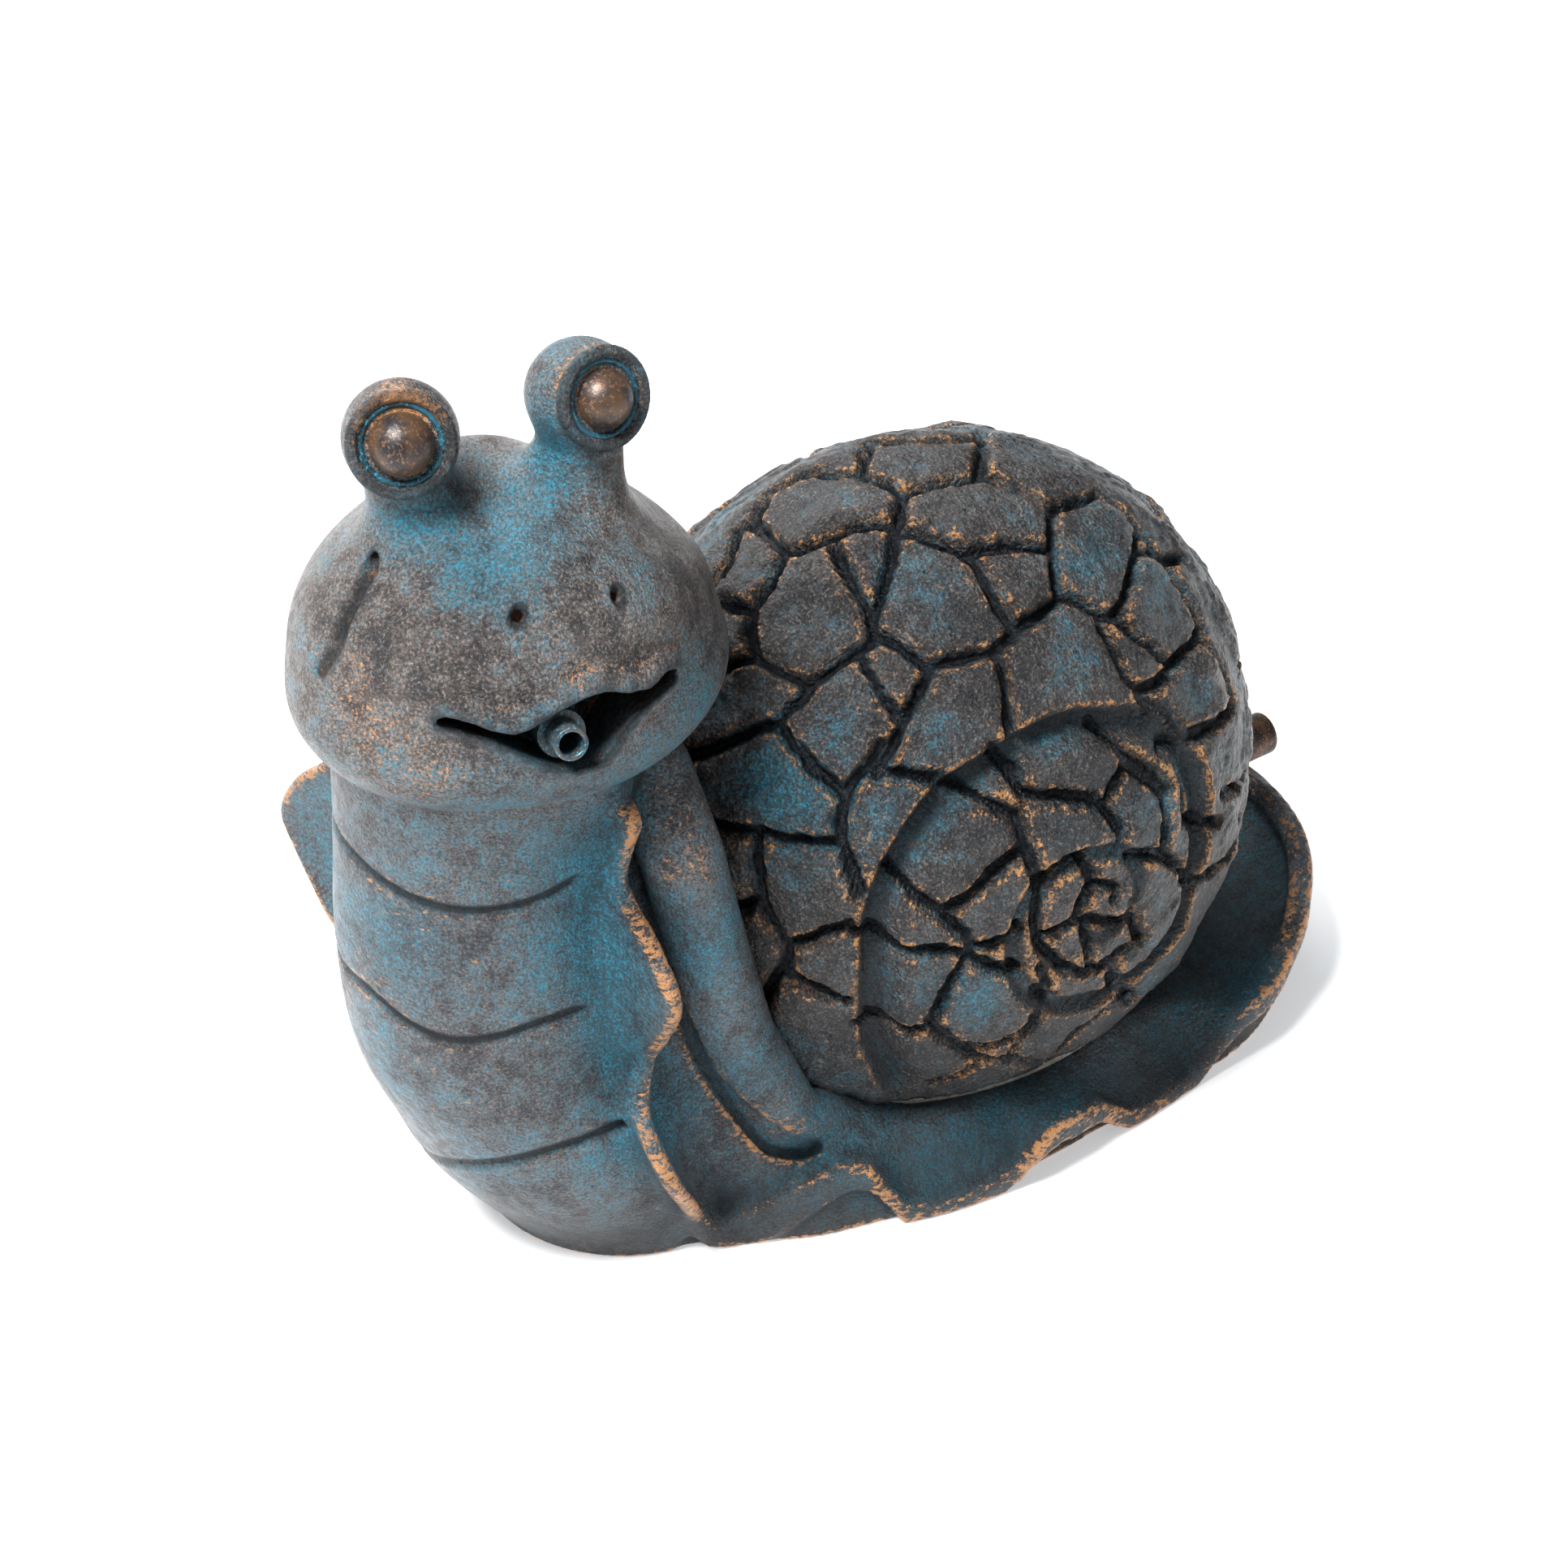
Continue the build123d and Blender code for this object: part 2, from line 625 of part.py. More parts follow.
def inlet_pipe():
    flange_start = inlet_boss_back_y + washer_thickness
    outer = bar(Plane.XY, inlet_pipe_radius, inlet_barb_back, inlet_reach_y)
    outer += bar(Plane.XY, inlet_flange_radius, flange_start, flange_start + inlet_flange_thickness)
    outer += bar(Plane.XY, barb_radius, inlet_barb_back - barb_length, inlet_barb_back)
    outer -= bar(Plane.XY, water_bore_radius, inlet_barb_back - barb_length - overrun, inlet_reach_y)
    outer -= bar(Plane.XY, inlet_bore_radius, inlet_boss_front_y, inlet_reach_y + overrun)
    end_edges = outer.edges().filter_by(GeomType.CIRCLE).group_by(Axis.Z)[-1]
    return inlet_place * fillet(end_edges.sort_by(SortBy.RADIUS)[-1], inlet_edge_round)


def inlet_washer():
    back = inlet_boss_back_y + washer_thickness
    bore = inlet_pipe_radius + hole_gap
    return pipe(inlet_place, inlet_flange_radius, bore, inlet_boss_back_y, back)


def inlet_nut():
    bore = inlet_pipe_radius + hole_gap
    return hex_nut(inlet_place, inlet_nut_width, bore, inlet_nut_start, inlet_nut_thickness)


def hose_route():
    """The hose's line, from the inlet's barb, under the deck, up the neck and onto the spout's barb."""
    start_y = inlet_barb_back - bed_gap
    neck_foot_y = neck_base_y - neck_lean * neck_section_shares[2][1]
    neck_head_y = neck_base_y - neck_lean
    turn_in = spout_place.origin - spout_aim * (barb_length + hose_straight)
    points = [
        Vector(0, start_y, inlet_height),
        Vector(0, start_y - 2 * barb_length - hose_straight, inlet_height),
        Vector(0, shell_centre_y - deck_opening_half_length / 2, hose_run_height),
        Vector(0, neck_base_y + neck_radius * hose_neck_foot_share, hose_run_height),
        Vector(0, neck_foot_y, neck_top_height * neck_section_shares[2][0]),
        Vector(turn_in.X / 2, neck_head_y, neck_top_height * neck_section_shares[3][0]),
        turn_in,
        spout_place.origin + spout_aim * spout_barb_front,
    ]
    radii = []
    for before, corner, after in zip(points, points[1:], points[2:]):
        come, go = corner - before, after - corner
        half_turn = math.radians(come.get_angle(go)) / 2
        shorter = min(come.length, go.length)
        radii.append(hose_bend_share * shorter / math.tan(half_turn))
    print("hose radii", [round(r, 1) for r in radii])
    return FilletPolyline(points, radius=radii)


def feed_hose():
    route = hose_route()
    start = Plane(origin=route @ 0, z_dir=route % 0)
    hose = sweep(start * Circle(hose_radius), route)
    hose -= sweep(start * Circle(hose_bore_radius), route)
    print("hose length", round(route.length, 1))
    return hose


def hose_clip(place, middle):
    inner = hose_radius + clip_gap
    clip = bar(place, inner + clip_thickness, middle - clip_width / 2, middle + clip_width / 2)
    lug = Box(clip_lug_width, clip_lug_length, clip_width)
    clip += place * Pos(0, inner + clip_lug_length / 2, middle) * lug
    return clip - bar(place, inner, middle - clip_width, middle + clip_width)


def hose_clips():
    front = hose_clip(spout_place, spout_barb_front - barb_length / 2)
    rear = hose_clip(inlet_place, inlet_barb_back - barb_length / 2)
    return Compound(children=[front, rear])


parts = {
    "body_casting": body_casting,
    "shell_casting": shell_casting,
    "head_casting": head_casting,
    "shell_mortar_bed": shell_mortar_bed,
    "neck_mortar_bed": neck_mortar_bed,
    "eye_left": lambda: eye_dome(-1),
    "eye_right": lambda: eye_dome(1),
    "spout_sleeve": spout_sleeve,
    "spout_nozzle": spout_nozzle,
    "spout_seal": spout_seal,
    "spout_washer": spout_washer,
    "spout_nut": spout_nut,
    "inlet_pipe": inlet_pipe,
    "inlet_washer": inlet_washer,
    "inlet_nut": inlet_nut,
    "feed_hose": feed_hose,
    "hose_clips": hose_clips,
}

os.makedirs("parts", exist_ok=True)
for name, make in parts.items():
    solid = make()
    export_step(solid, f"parts/{name}.step")
    print(name, round(solid.volume), solid.bounding_box())
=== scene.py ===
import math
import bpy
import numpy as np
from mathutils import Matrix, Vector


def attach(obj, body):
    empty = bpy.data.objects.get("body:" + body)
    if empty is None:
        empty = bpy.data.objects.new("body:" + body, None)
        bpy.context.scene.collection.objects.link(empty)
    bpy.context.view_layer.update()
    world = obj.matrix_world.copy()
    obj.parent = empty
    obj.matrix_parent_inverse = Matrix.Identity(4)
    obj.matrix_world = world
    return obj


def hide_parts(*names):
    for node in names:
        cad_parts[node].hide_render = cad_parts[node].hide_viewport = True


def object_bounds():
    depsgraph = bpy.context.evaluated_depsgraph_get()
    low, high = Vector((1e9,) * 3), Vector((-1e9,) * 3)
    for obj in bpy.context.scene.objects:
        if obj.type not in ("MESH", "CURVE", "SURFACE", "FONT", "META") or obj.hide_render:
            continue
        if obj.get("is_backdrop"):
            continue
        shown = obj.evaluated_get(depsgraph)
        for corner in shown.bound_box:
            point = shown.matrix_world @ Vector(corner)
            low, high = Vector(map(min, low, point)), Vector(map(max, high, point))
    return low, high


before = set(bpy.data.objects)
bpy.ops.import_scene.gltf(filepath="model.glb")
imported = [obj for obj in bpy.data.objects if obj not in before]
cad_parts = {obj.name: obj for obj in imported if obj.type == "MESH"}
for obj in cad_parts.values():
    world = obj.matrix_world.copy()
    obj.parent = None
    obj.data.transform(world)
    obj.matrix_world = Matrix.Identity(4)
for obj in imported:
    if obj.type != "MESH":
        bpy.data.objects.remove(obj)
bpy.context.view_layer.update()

# %% [markdown]
# The object is a garden snail that spits water: three castings in stone-filled resin
# with a bronze patina, bedded on each other, and a push-in spout in the mouth. The frame
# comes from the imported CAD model, in metres. All forms here are worked out in millimetres
# and scaled once, when a mesh is made.

MM = 0.001
print("full detail")

# %% [markdown]
# The castings are soft, carved forms. Such figures are usually modelled in clay and
# cast from moulds. Here each one is a distance field: a number at every point
# of a grid that is negative inside the clay. Fields blend into each other the way clay
# does, and a skin is drawn where the number changes sign.
#
# The rows of places for the rim, crest, lips, brow and ledge were read by eye and turned
# into millimetres by small scratch scripts. The neck's rows were fitted to the seen
# outline by another one, so they are no hand-made numbers.

# %% Field tools
def curve(x, knots, values):
    """A smooth line through knots."""
    knots = np.asarray(knots, float)
    values = np.asarray(values, float)
    slope = np.gradient(values, knots)
    i = np.clip(np.searchsorted(knots, x) - 1, 0, len(knots) - 2)
    h = knots[i + 1] - knots[i]
    t = np.clip((x - knots[i]) / h, 0, 1)
    start = (1 + 2 * t) * (1 - t) ** 2 * values[i] + t * (1 - t) ** 2 * h * slope[i]
    return start + t * t * (3 - 2 * t) * values[i + 1] + t * t * (t - 1) * h * slope[i + 1]


def ease(x, low, high):
    t = np.clip((x - low) / (high - low), 0, 1)
    return t * t * (3 - 2 * t)


def join(a, b, soft):
    """Union with a fillet about as wide as soft."""
    t = np.clip(0.5 + 0.5 * (b - a) / soft, 0, 1)
    return b + (a - b) * t - soft * t * (1 - t)


def cut(a, b, soft):
    """What is left of a when b is taken away, with a rounded edge."""
    return -join(-a, b, soft)


def ellipsoid(x, y, z, centre, radii):
    q = [(p - c) / r for p, c, r in zip((x, y, z), centre, radii)]
    k0 = np.sqrt(q[0] ** 2 + q[1] ** 2 + q[2] ** 2)
    k1 = np.sqrt((q[0] / radii[0]) ** 2 + (q[1] / radii[1]) ** 2 + (q[2] / radii[2]) ** 2)
    return k0 * (k0 - 1) / np.maximum(k1, 1e-6)


def rod(x, y, z, a, b, ra, rb):
    """A round rod from a to b whose radius goes from ra to rb."""
    ab = np.subtract(b, a)
    ax, ay, az = x - a[0], y - a[1], z - a[2]
    t = np.clip((ax * ab[0] + ay * ab[1] + az * ab[2]) / np.dot(ab, ab), 0, 1)
    gap = (ax - ab[0] * t) ** 2 + (ay - ab[1] * t) ** 2 + (az - ab[2] * t) ** 2
    return np.sqrt(gap) - (ra + (rb - ra) * t)


def grid(low, high, step):
    axes = [np.arange(a, b + step, step, dtype=np.float32) for a, b in zip(low, high)]
    return axes[0][:, None, None], axes[1][None, :, None], axes[2][None, None, :]


def near(axes, low, high):
    """The slices of a grid that hold a box, so that a small form is worked out only there."""
    found = []
    for axis, a, b in zip(axes, low, high):
        line = axis.ravel()
        start, end = np.searchsorted(line, (a, b))
        found.append(slice(max(int(start) - 1, 0), min(int(end) + 1, len(line))))
    block = [axes[0][found[0]], axes[1][:, found[1]], axes[2][:, :, found[2]]]
    return tuple(found), block


def skin(field, axes):
    """Points and quads of the surface where the field is zero."""
    corner = np.array([a.ravel()[0] for a in axes], float)
    step = float(axes[0].ravel()[1] - axes[0].ravel()[0])
    inside = field < 0
    shape = np.array(field.shape) - 1
    count = np.zeros(shape, np.int8)
    ends = [(slice(0, -1), slice(1, None))] * 3
    for dx in ends[0]:
        for dy in ends[1]:
            for dz in ends[2]:
                count += inside[dx, dy, dz]
    cells = np.argwhere((count > 0) & (count < 8))
    number = np.full(shape, -1, np.int64)
    number[tuple(cells.T)] = np.arange(len(cells))
    total = np.zeros((len(cells), 3))
    hits = np.zeros(len(cells))
    for axis in range(3):
        along = np.eye(3, dtype=int)[axis]
        others = [np.eye(3, dtype=int)[k] for k in range(3) if k != axis]
        for u in (0, 1):
            for v in (0, 1):
                p = cells + others[0] * u + others[1] * v
                fp = field[tuple(p.T)].astype(float)
                fq = field[tuple((p + along).T)].astype(float)
                crossed = (fp < 0) != (fq < 0)
                t = np.where(crossed, fp / np.where(crossed, fp - fq, 1), 0)
                total += np.where(crossed[:, None], p + along * t[:, None], 0)
                hits += crossed
    points = corner + step * total / hits[:, None]
    quads = []
    for axis in range(3):
        along = np.eye(3, dtype=int)[axis]
        u, v = np.eye(3, dtype=int)[(axis + 1) % 3], np.eye(3, dtype=int)[(axis + 2) % 3]
        first = tuple(slice(0, -1) if k == axis else slice(1, -1) for k in range(3))
        second = tuple(slice(1, None) if k == axis else slice(1, -1) for k in range(3))
        crossed = inside[first] != inside[second]
        p = np.argwhere(crossed) + u + v
        ring = [number[tuple((p - a).T)] for a in (0 * u, u, u + v, v)]
        quad = np.stack(ring, 1)
        flip = ~inside[tuple(p.T)]
        quad[flip] = quad[flip][:, ::-1]
        quads.append(quad)
    return points, np.concatenate(quads)


LATTICE = np.random.RandomState(7).rand(32, 32, 32)


def lumps(points, size):
    """Smooth seeded noise from 0 to 1, with lumps about as wide as size."""
    p = np.asarray(points) / size
    base = np.floor(p).astype(int)
    f = p - base
    f = f * f * (3 - 2 * f)
    total = np.zeros(len(p))
    for dx in (0, 1):
        for dy in (0, 1):
            for dz in (0, 1):
                share = np.ones(len(p))
                for k, d in enumerate((dx, dy, dz)):
                    share = share * (f[:, k] if d else 1 - f[:, k])
                i = (base + (dx, dy, dz)) % 32
                total += share * LATTICE[i[:, 0], i[:, 1], i[:, 2]]
    return total


def smooth(points, pairs, rounds):
    """Each value drawn to the mean of its neighbours, several times over."""
    degree = np.bincount(pairs.ravel(), minlength=len(points)).astype(float)[:, None]
    values = points
    for _ in range(rounds):
        total = np.zeros_like(values)
        for k in range(values.shape[1]):
            total[:, k] += np.bincount(pairs[:, 0], values[pairs[:, 1], k], len(values))
            total[:, k] += np.bincount(pairs[:, 1], values[pairs[:, 0], k], len(values))
        values = 0.4 * values + 0.6 * total / degree
    return values


def spots(points, rows):
    """Paint dabs: how strongly a point is dabbed, from rows of place, radius and strength."""
    total = np.zeros(len(points))
    for *place, radius, strength in rows:
        total += strength * np.exp(-((points - place) ** 2).sum(1) / radius ** 2)
    return total


def distance_to(points, runs):
    """How far each point lies from the nearest run."""
    found = np.full(len(points), 1e4)
    for a, b in runs:
        ab = b - a
        t = np.clip(((points - a) @ ab) / max(ab @ ab, 1e-6), 0, 1)
        found = np.minimum(found, ((points - a - t[:, None] * ab) ** 2).sum(1))
    return np.sqrt(found)


def cube_ball(side):
    """Points and quads of a ball whose six patches are divided evenly."""
    turns = np.linspace(-math.pi / 4, math.pi / 4, side + 1)
    a, b = np.meshgrid(np.tan(turns), np.tan(turns), indexing="ij")
    number = np.arange((side + 1) ** 2).reshape(side + 1, side + 1)
    quad = np.stack([number[:-1, :-1], number[1:, :-1], number[1:, 1:], number[:-1, 1:]], -1)
    points, quads = [], []
    for axis in range(3):
        for sign in (-1, 1):
            p = np.empty((side + 1, side + 1, 3))
            p[..., axis], p[..., (axis + 1) % 3], p[..., (axis + 2) % 3] = sign, a * sign, b
            quads.append(quad.reshape(-1, 4) + len(points) * (side + 1) ** 2)
            points.append(p.reshape(-1, 3))
    key, back = np.unique(np.round(np.concatenate(points), 6), axis=0, return_inverse=True)
    quads = back.ravel()[np.concatenate(quads)]
    return key / np.linalg.norm(key, axis=1)[:, None], quads


def build(name, points, quads, marks=None):
    """A mesh object at the origin, in metres, with how sharply it bulges kept for the paint."""
    mesh = bpy.data.meshes.new(name)
    mesh.from_pydata((points * MM).tolist(), [], quads.tolist())
    mesh.polygons.foreach_set("use_smooth", [True] * len(mesh.polygons))
    pairs = np.empty(len(mesh.edges) * 2, np.int32)
    mesh.edges.foreach_get("vertices", pairs)
    pairs = pairs.reshape(-1, 2)
    normals = np.empty(len(points) * 3, np.float32)
    mesh.vertices.foreach_get("normal", normals)
    normals = normals.reshape(-1, 3)
    marks = dict(marks or {})
    for mark, rounds in (("fine", 6), ("broad", 40)):
        marks[mark] = ((points - smooth(points, pairs, rounds)) * normals).sum(1)
    for mark, values in marks.items():
        layer = mesh.attributes.new(mark, "FLOAT", "POINT")
        layer.data.foreach_set("value", values.astype(np.float32))
    piece = bpy.data.objects.new(name, mesh)
    bpy.context.scene.collection.objects.link(piece)
    print(name, len(points), "points", len(quads), "quads")
    return piece


# %% [markdown]
# The body carries everything. A thick skirt with a wavy edge stands on the ground, the
# neck rears up out of it with belly folds across its front, a frill runs down each side
# of the neck, and a soft fold of mantle hugs the front of the shell. It is cast in one
# piece, hollow underneath, so that the hose can pass.

# %% Neck
def neck_field(x, y, z):
    heights = (0, 20, 40, 65, 89, 139, 184, 212, 232)
    middle = curve(z, heights, (-101, -113, -124, -135, -147, -154, -153, -149.5, -146))
    across = curve(z, heights, (56.7, 60.4, 62.9, 62.1, 58.9, 57, 55.2, 57.5, 61))
    along = curve(z, heights, (56, 59, 61, 60, 57, 55.2, 53.3, 54.5, 57))
    reach = np.sqrt((x / across) ** 2 + ((y - middle) / along) ** 2)
    return (reach - 1) * (across + along) / 2, middle


def belly_grooves(x, y, z, neck, middle):
    """Three folds that sag towards the front, by angle round the neck, and die out at the frills."""
    turn = np.degrees(np.arctan2(x, middle - y))
    folds = (
        ((-110, -60, -29, 6, 24, 38, 55, 70, 84, 101, 130),
         (194, 194, 193, 192, 189, 187, 186, 187, 189, 193, 200)),
        ((-110, -50, -12, 11, 28, 44, 59, 78, 92, 104, 130),
         (136, 137, 137, 138, 132, 129, 131, 135, 135, 132, 132)),
        ((-110, -60, 3, 28, 49, 66, 84, 110),
         (50, 44, 48, 60, 69, 74.5, 77, 78)),
    )
    width = 1.9 - 4 * np.maximum(ease(turn, 90, 106), ease(turn, -62, -84))
    found = np.full(neck.shape, 99, np.float32)
    for turns, heights in folds:
        gap = np.sqrt(neck ** 2 + (0.94 * (z - curve(turn, turns, heights))) ** 2)
        found = np.minimum(found, gap - width)
    return found


# %% Skirt
FOOT_WALL, FOOT_HOLLOW = 15, 18
# Across, along and height
RIM = (
    (0, -153, 0), (30, -145, 0), (53, -118, 2), (60, -105, 12), (61, -102, 5), (67, -91, 5),
    (74, -79, 11), (79, -70, 18), (83, -62, 22), (87, -53, 23), (91, -47, 19), (93, -42, 11),
    (96, -37, 3), (99, -28, 0), (102, -16, 0), (104, -4, 1), (106, 8, 5), (109, 17, 14),
    (109, 27, 18), (108, 40, 17), (106, 51, 15), (105, 60, 8), (104, 68, 2), (101, 91, 0),
    (99, 107, 3), (99, 117, 12), (99, 127, 19), (98, 138, 22), (94, 150, 24), (89, 160, 29),
    (84, 170, 36), (75, 180, 43), (55, 196, 46), (28, 208, 46), (0, 212, 46),
)


def hull(x, y):
    """Signed distance to the foot's plan: the outline round three circles on the middle line."""
    circles = ((-96, 57), (4, 104), (108, 98))
    found = None
    for (y0, r0), (y1, r1) in zip(circles, circles[1:]):
        h = y1 - y0
        b = (r0 - r1) / h
        a = math.sqrt(1 - b * b)
        px, py = np.abs(x), y - y0
        k = py * a - px * b
        side = px * a + py * b - r0
        low = np.sqrt(px ** 2 + py ** 2) - r0
        high = np.sqrt(px ** 2 + (py - h) ** 2) - r1
        part = np.where(k < 0, low, np.where(k > a * h, high, side))
        found = part if found is None else np.minimum(found, part)
    return found


def foot_field(x, y, z):
    x, y = np.broadcast_arrays(x, y)
    plan = hull(x, y)
    turn = np.arctan2(np.abs(x), 30 - y)
    rim = np.array(RIM, float)
    knots = np.arctan2(rim[:, 0], 30 - rim[:, 1])
    lip = curve(turn, knots, rim[:, 2] + 3.5)
    flare = curve(turn, knots, hull(rim[:, 0], rim[:, 1]))
    tail = ease(turn, 2.2, 2.7)
    edge = plan - flare
    inward = np.clip(-edge / (24 + 12 * tail), 0, 1)
    rise = inward * inward * (3 - 2 * inward) * (1 - tail) + (1 - (1 - inward) ** 2) * tail
    top = lip + 4 + (32 - lip - 4) * rise
    under = top - 10
    recess = plan - flare * np.clip(z / np.maximum(lip, 6), 0, 1) * tail + 4
    sheet = np.maximum(edge, under - z)
    field = cut(np.minimum(sheet, recess), top - z, 2.0)
    bead = np.sqrt((edge + 4.5) ** 2 + (z - lip) ** 2) - 4.6
    field = join(field, bead, 3.0)
    field = np.maximum(field, -z)
    return np.maximum(field, -np.maximum(plan + FOOT_WALL, z - FOOT_HOLLOW))


# %% Frill, mantle and the whole body
# Height, across and along
CREST = (
    (-8, 60, -92), (0, 62, -96), (13, 61, -106), (40, 75, -121), (60, 80, -131), (85, 65, -133),
    (103, 62, -128), (122, 74, -129), (145, 84, -129), (165, 75, -131), (185, 58, -133),
    (200, 60, -131), (214, 62, -129), (224, 53, -131),
)
# Across, along and height
ROLL = ((40, -107, 211), (60, -108, 187), (60, -102, 156), (60, -96, 127), (60, -88, 93),
        (60, -69, 48), (60, -28, 14))
ROLL_RADIUS, SEAM_RADIUS = 15.2, 2.6
FAR_REACH = 1.13
NECK_WALL = 13
NECK_TOP, MANTLE_TOP, HOLLOW_TOP, SEAM_TOP = 235, 212, 210, 205
SOCKET_Y, SOCKET_RADIUS, SOCKET_FLOOR = -145.8, 42, 206
SHELL_CENTRE = (0, 39, 125)
SHELL_RADII = (115, 138, 138)
SEAT_DEPTH = 2.5
OPENING_HALF_WIDTH, OPENING_HALF_LENGTH, OPENING_FLOOR = 44, 60, 20


def frill_field(x, y, z, middle, side):
    rows = np.array(CREST, float)
    cx = curve(z, rows[:, 0], rows[:, 1])
    cy = curve(z, rows[:, 0], rows[:, 2])
    rx, ry = side * 36.0, middle + 16.0
    if side < 0:
        cx, cy = -FAR_REACH * cx, middle - FAR_REACH * (cy - middle)
        ry = middle - 4.0
    dx, dy = cx - rx, cy - ry
    t = np.clip(((x - rx) * dx + (y - ry) * dy) / (dx * dx + dy * dy), 0, 1)
    gap = np.sqrt((x - rx - t * dx) ** 2 + (y - ry - t * dy) ** 2)
    thick = 6.8 - 3.8 * t + 0.6 * ease(t, 0.86, 1)
    return gap - thick + np.maximum(z - 217, 0) * 0.8


step = 1.8
low, high = (-122, -222, -6), (122, 226, 236)
axes = grid(low, high, step)
x, y, z = axes
field = foot_field(x, y, z)
part, (bx, by, bz) = near(axes, (-122, -222, -6), (122, -20, 236))
neck, middle = neck_field(bx, by, bz)
neck_solid = cut(neck, NECK_TOP - bz, 1.0)
heights = (0, 12, 61, 122, 173, 200, 214)
mantle_reach = np.sqrt(
    (bx / curve(bz, heights, (84, 80, 67, 57, 47, 38, 26))) ** 2
    + ((by - curve(bz, heights, (-56, -60, -82, -101, -110, -112, -113)))
       / curve(bz, heights, (54, 52, 44, 38, 34, 29, 20))) ** 2
)
mantle = np.maximum((mantle_reach - 1) * 40, bz - MANTLE_TOP)
form = join(neck_solid, mantle, 10)
for side in (-1, 1):
    form = join(form, frill_field(bx, by, bz, middle, side), 9)
roll = np.full(form.shape, 99, np.float32)
for side in (-1, 1):
    for a, b in zip(ROLL, ROLL[1:]):
        a, b = (side * a[0], a[1], a[2]), (side * b[0], b[1], b[2])
        roll = np.minimum(roll, rod(bx, by, bz, a, b, ROLL_RADIUS, ROLL_RADIUS))
seam = np.sqrt(form ** 2 + roll ** 2) - SEAM_RADIUS
form = cut(join(form, roll, 3), np.maximum(seam, bz - SEAM_TOP), 1.5)
groove = belly_grooves(bx, by, bz, neck, middle)
form = cut(form, groove, 1.0)
whole = field[part]
whole = join(whole, form, 12)
whole = np.maximum(whole, -bz)
inside = np.maximum(neck + NECK_WALL, bz - HOLLOW_TOP)
whole = np.maximum(whole, -inside)
socket = np.maximum(np.sqrt(bx ** 2 + (by - SOCKET_Y) ** 2) - SOCKET_RADIUS, SOCKET_FLOOR - bz)
whole = np.maximum(whole, -socket)
field[part] = whole
seat = ellipsoid(x, y, z, SHELL_CENTRE, SHELL_RADII) + SEAT_DEPTH
field = np.maximum(field, -seat)
beside = np.maximum(np.abs(x) - OPENING_HALF_WIDTH, np.abs(y - SHELL_CENTRE[1]) - OPENING_HALF_LENGTH)
field = np.maximum(field, -np.maximum(beside, OPENING_FLOOR - z))
points, quads = skin(field.astype(np.float32), axes)
points[:, 2] = np.maximum(points[:, 2], 0)
BODY_GLAZE = (
    (54, -143, 195, 22, 1.0), (60, -140, 155, 22, 1.0), (62, -136, 112, 20, 0.9), (62, -128, 72, 20, 0.8),
    (76, -106, 150, 20, 0.7), (82, -92, 88, 22, 0.7), (88, -60, 40, 24, 0.7), (98, -12, 26, 26, 0.7),
    (104, 40, 26, 24, 0.8), (100, 96, 26, 22, 0.5), (96, 138, 36, 22, 0.9), (60, 190, 50, 26, 0.6),
    (-20, -205, 160, 30, 0.5), (26, -206, 170, 20, 0.5), (8, -204, 96, 22, 0.5), (36, -186, 60, 20, 0.4),
    (-66, -150, 150, 34, 0.7), (20, 206, 48, 24, 0.4),
)
BODY_WAX = (
    (10, -207, 150, 26, 0.30), (-10, -200, 110, 30, 0.25), (30, -204, 190, 20, 0.3),
    (40, -190, 100, 24, 0.2), (62, -108, 200, 22, 0.3), (60, -70, 55, 26, 0.4),
    (100, 30, 18, 26, 0.25), (95, 150, 28, 20, 0.4),
)
neck, middle = neck_field(*points.T)
groove = belly_grooves(*points.T, neck, middle)
# The belly grooves are also kept as a mark that the paint darkens as shade.
body = build("body", points, quads, {
    "glaze": spots(points, BODY_GLAZE), "wax": spots(points, BODY_WAX), "ink_and_shade": 1 - ease(groove, -0.5, 0.7)})
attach(body, "figure")
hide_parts("body_casting")

# %% [markdown]
# The head is a separate casting bedded on the neck, so that one body can carry heads
# that look different ways. It is worked out in its own frame: right, forward and up
# from the middle of the face.

# %% Head frame
HEAD_CENTRE = np.array((2, -140, 263), float)
HEAD_YAW = math.radians(76)
HEAD_RIGHT = np.array((math.cos(HEAD_YAW), math.sin(HEAD_YAW), 0))
HEAD_FORWARD = np.array((math.sin(HEAD_YAW), -math.cos(HEAD_YAW), 0))
SPOUT_PITCH = math.radians(15)
SPOUT_ROOT = -19.0


def eye_axis(yaw_deg, pitch_deg=20.0):
    yaw, pitch = math.radians(yaw_deg), math.radians(pitch_deg)
    aim = (math.sin(yaw) * math.cos(pitch), -math.cos(yaw) * math.cos(pitch), math.sin(pitch))
    return np.array((np.dot(aim, HEAD_RIGHT), np.dot(aim, HEAD_FORWARD), aim[2]))


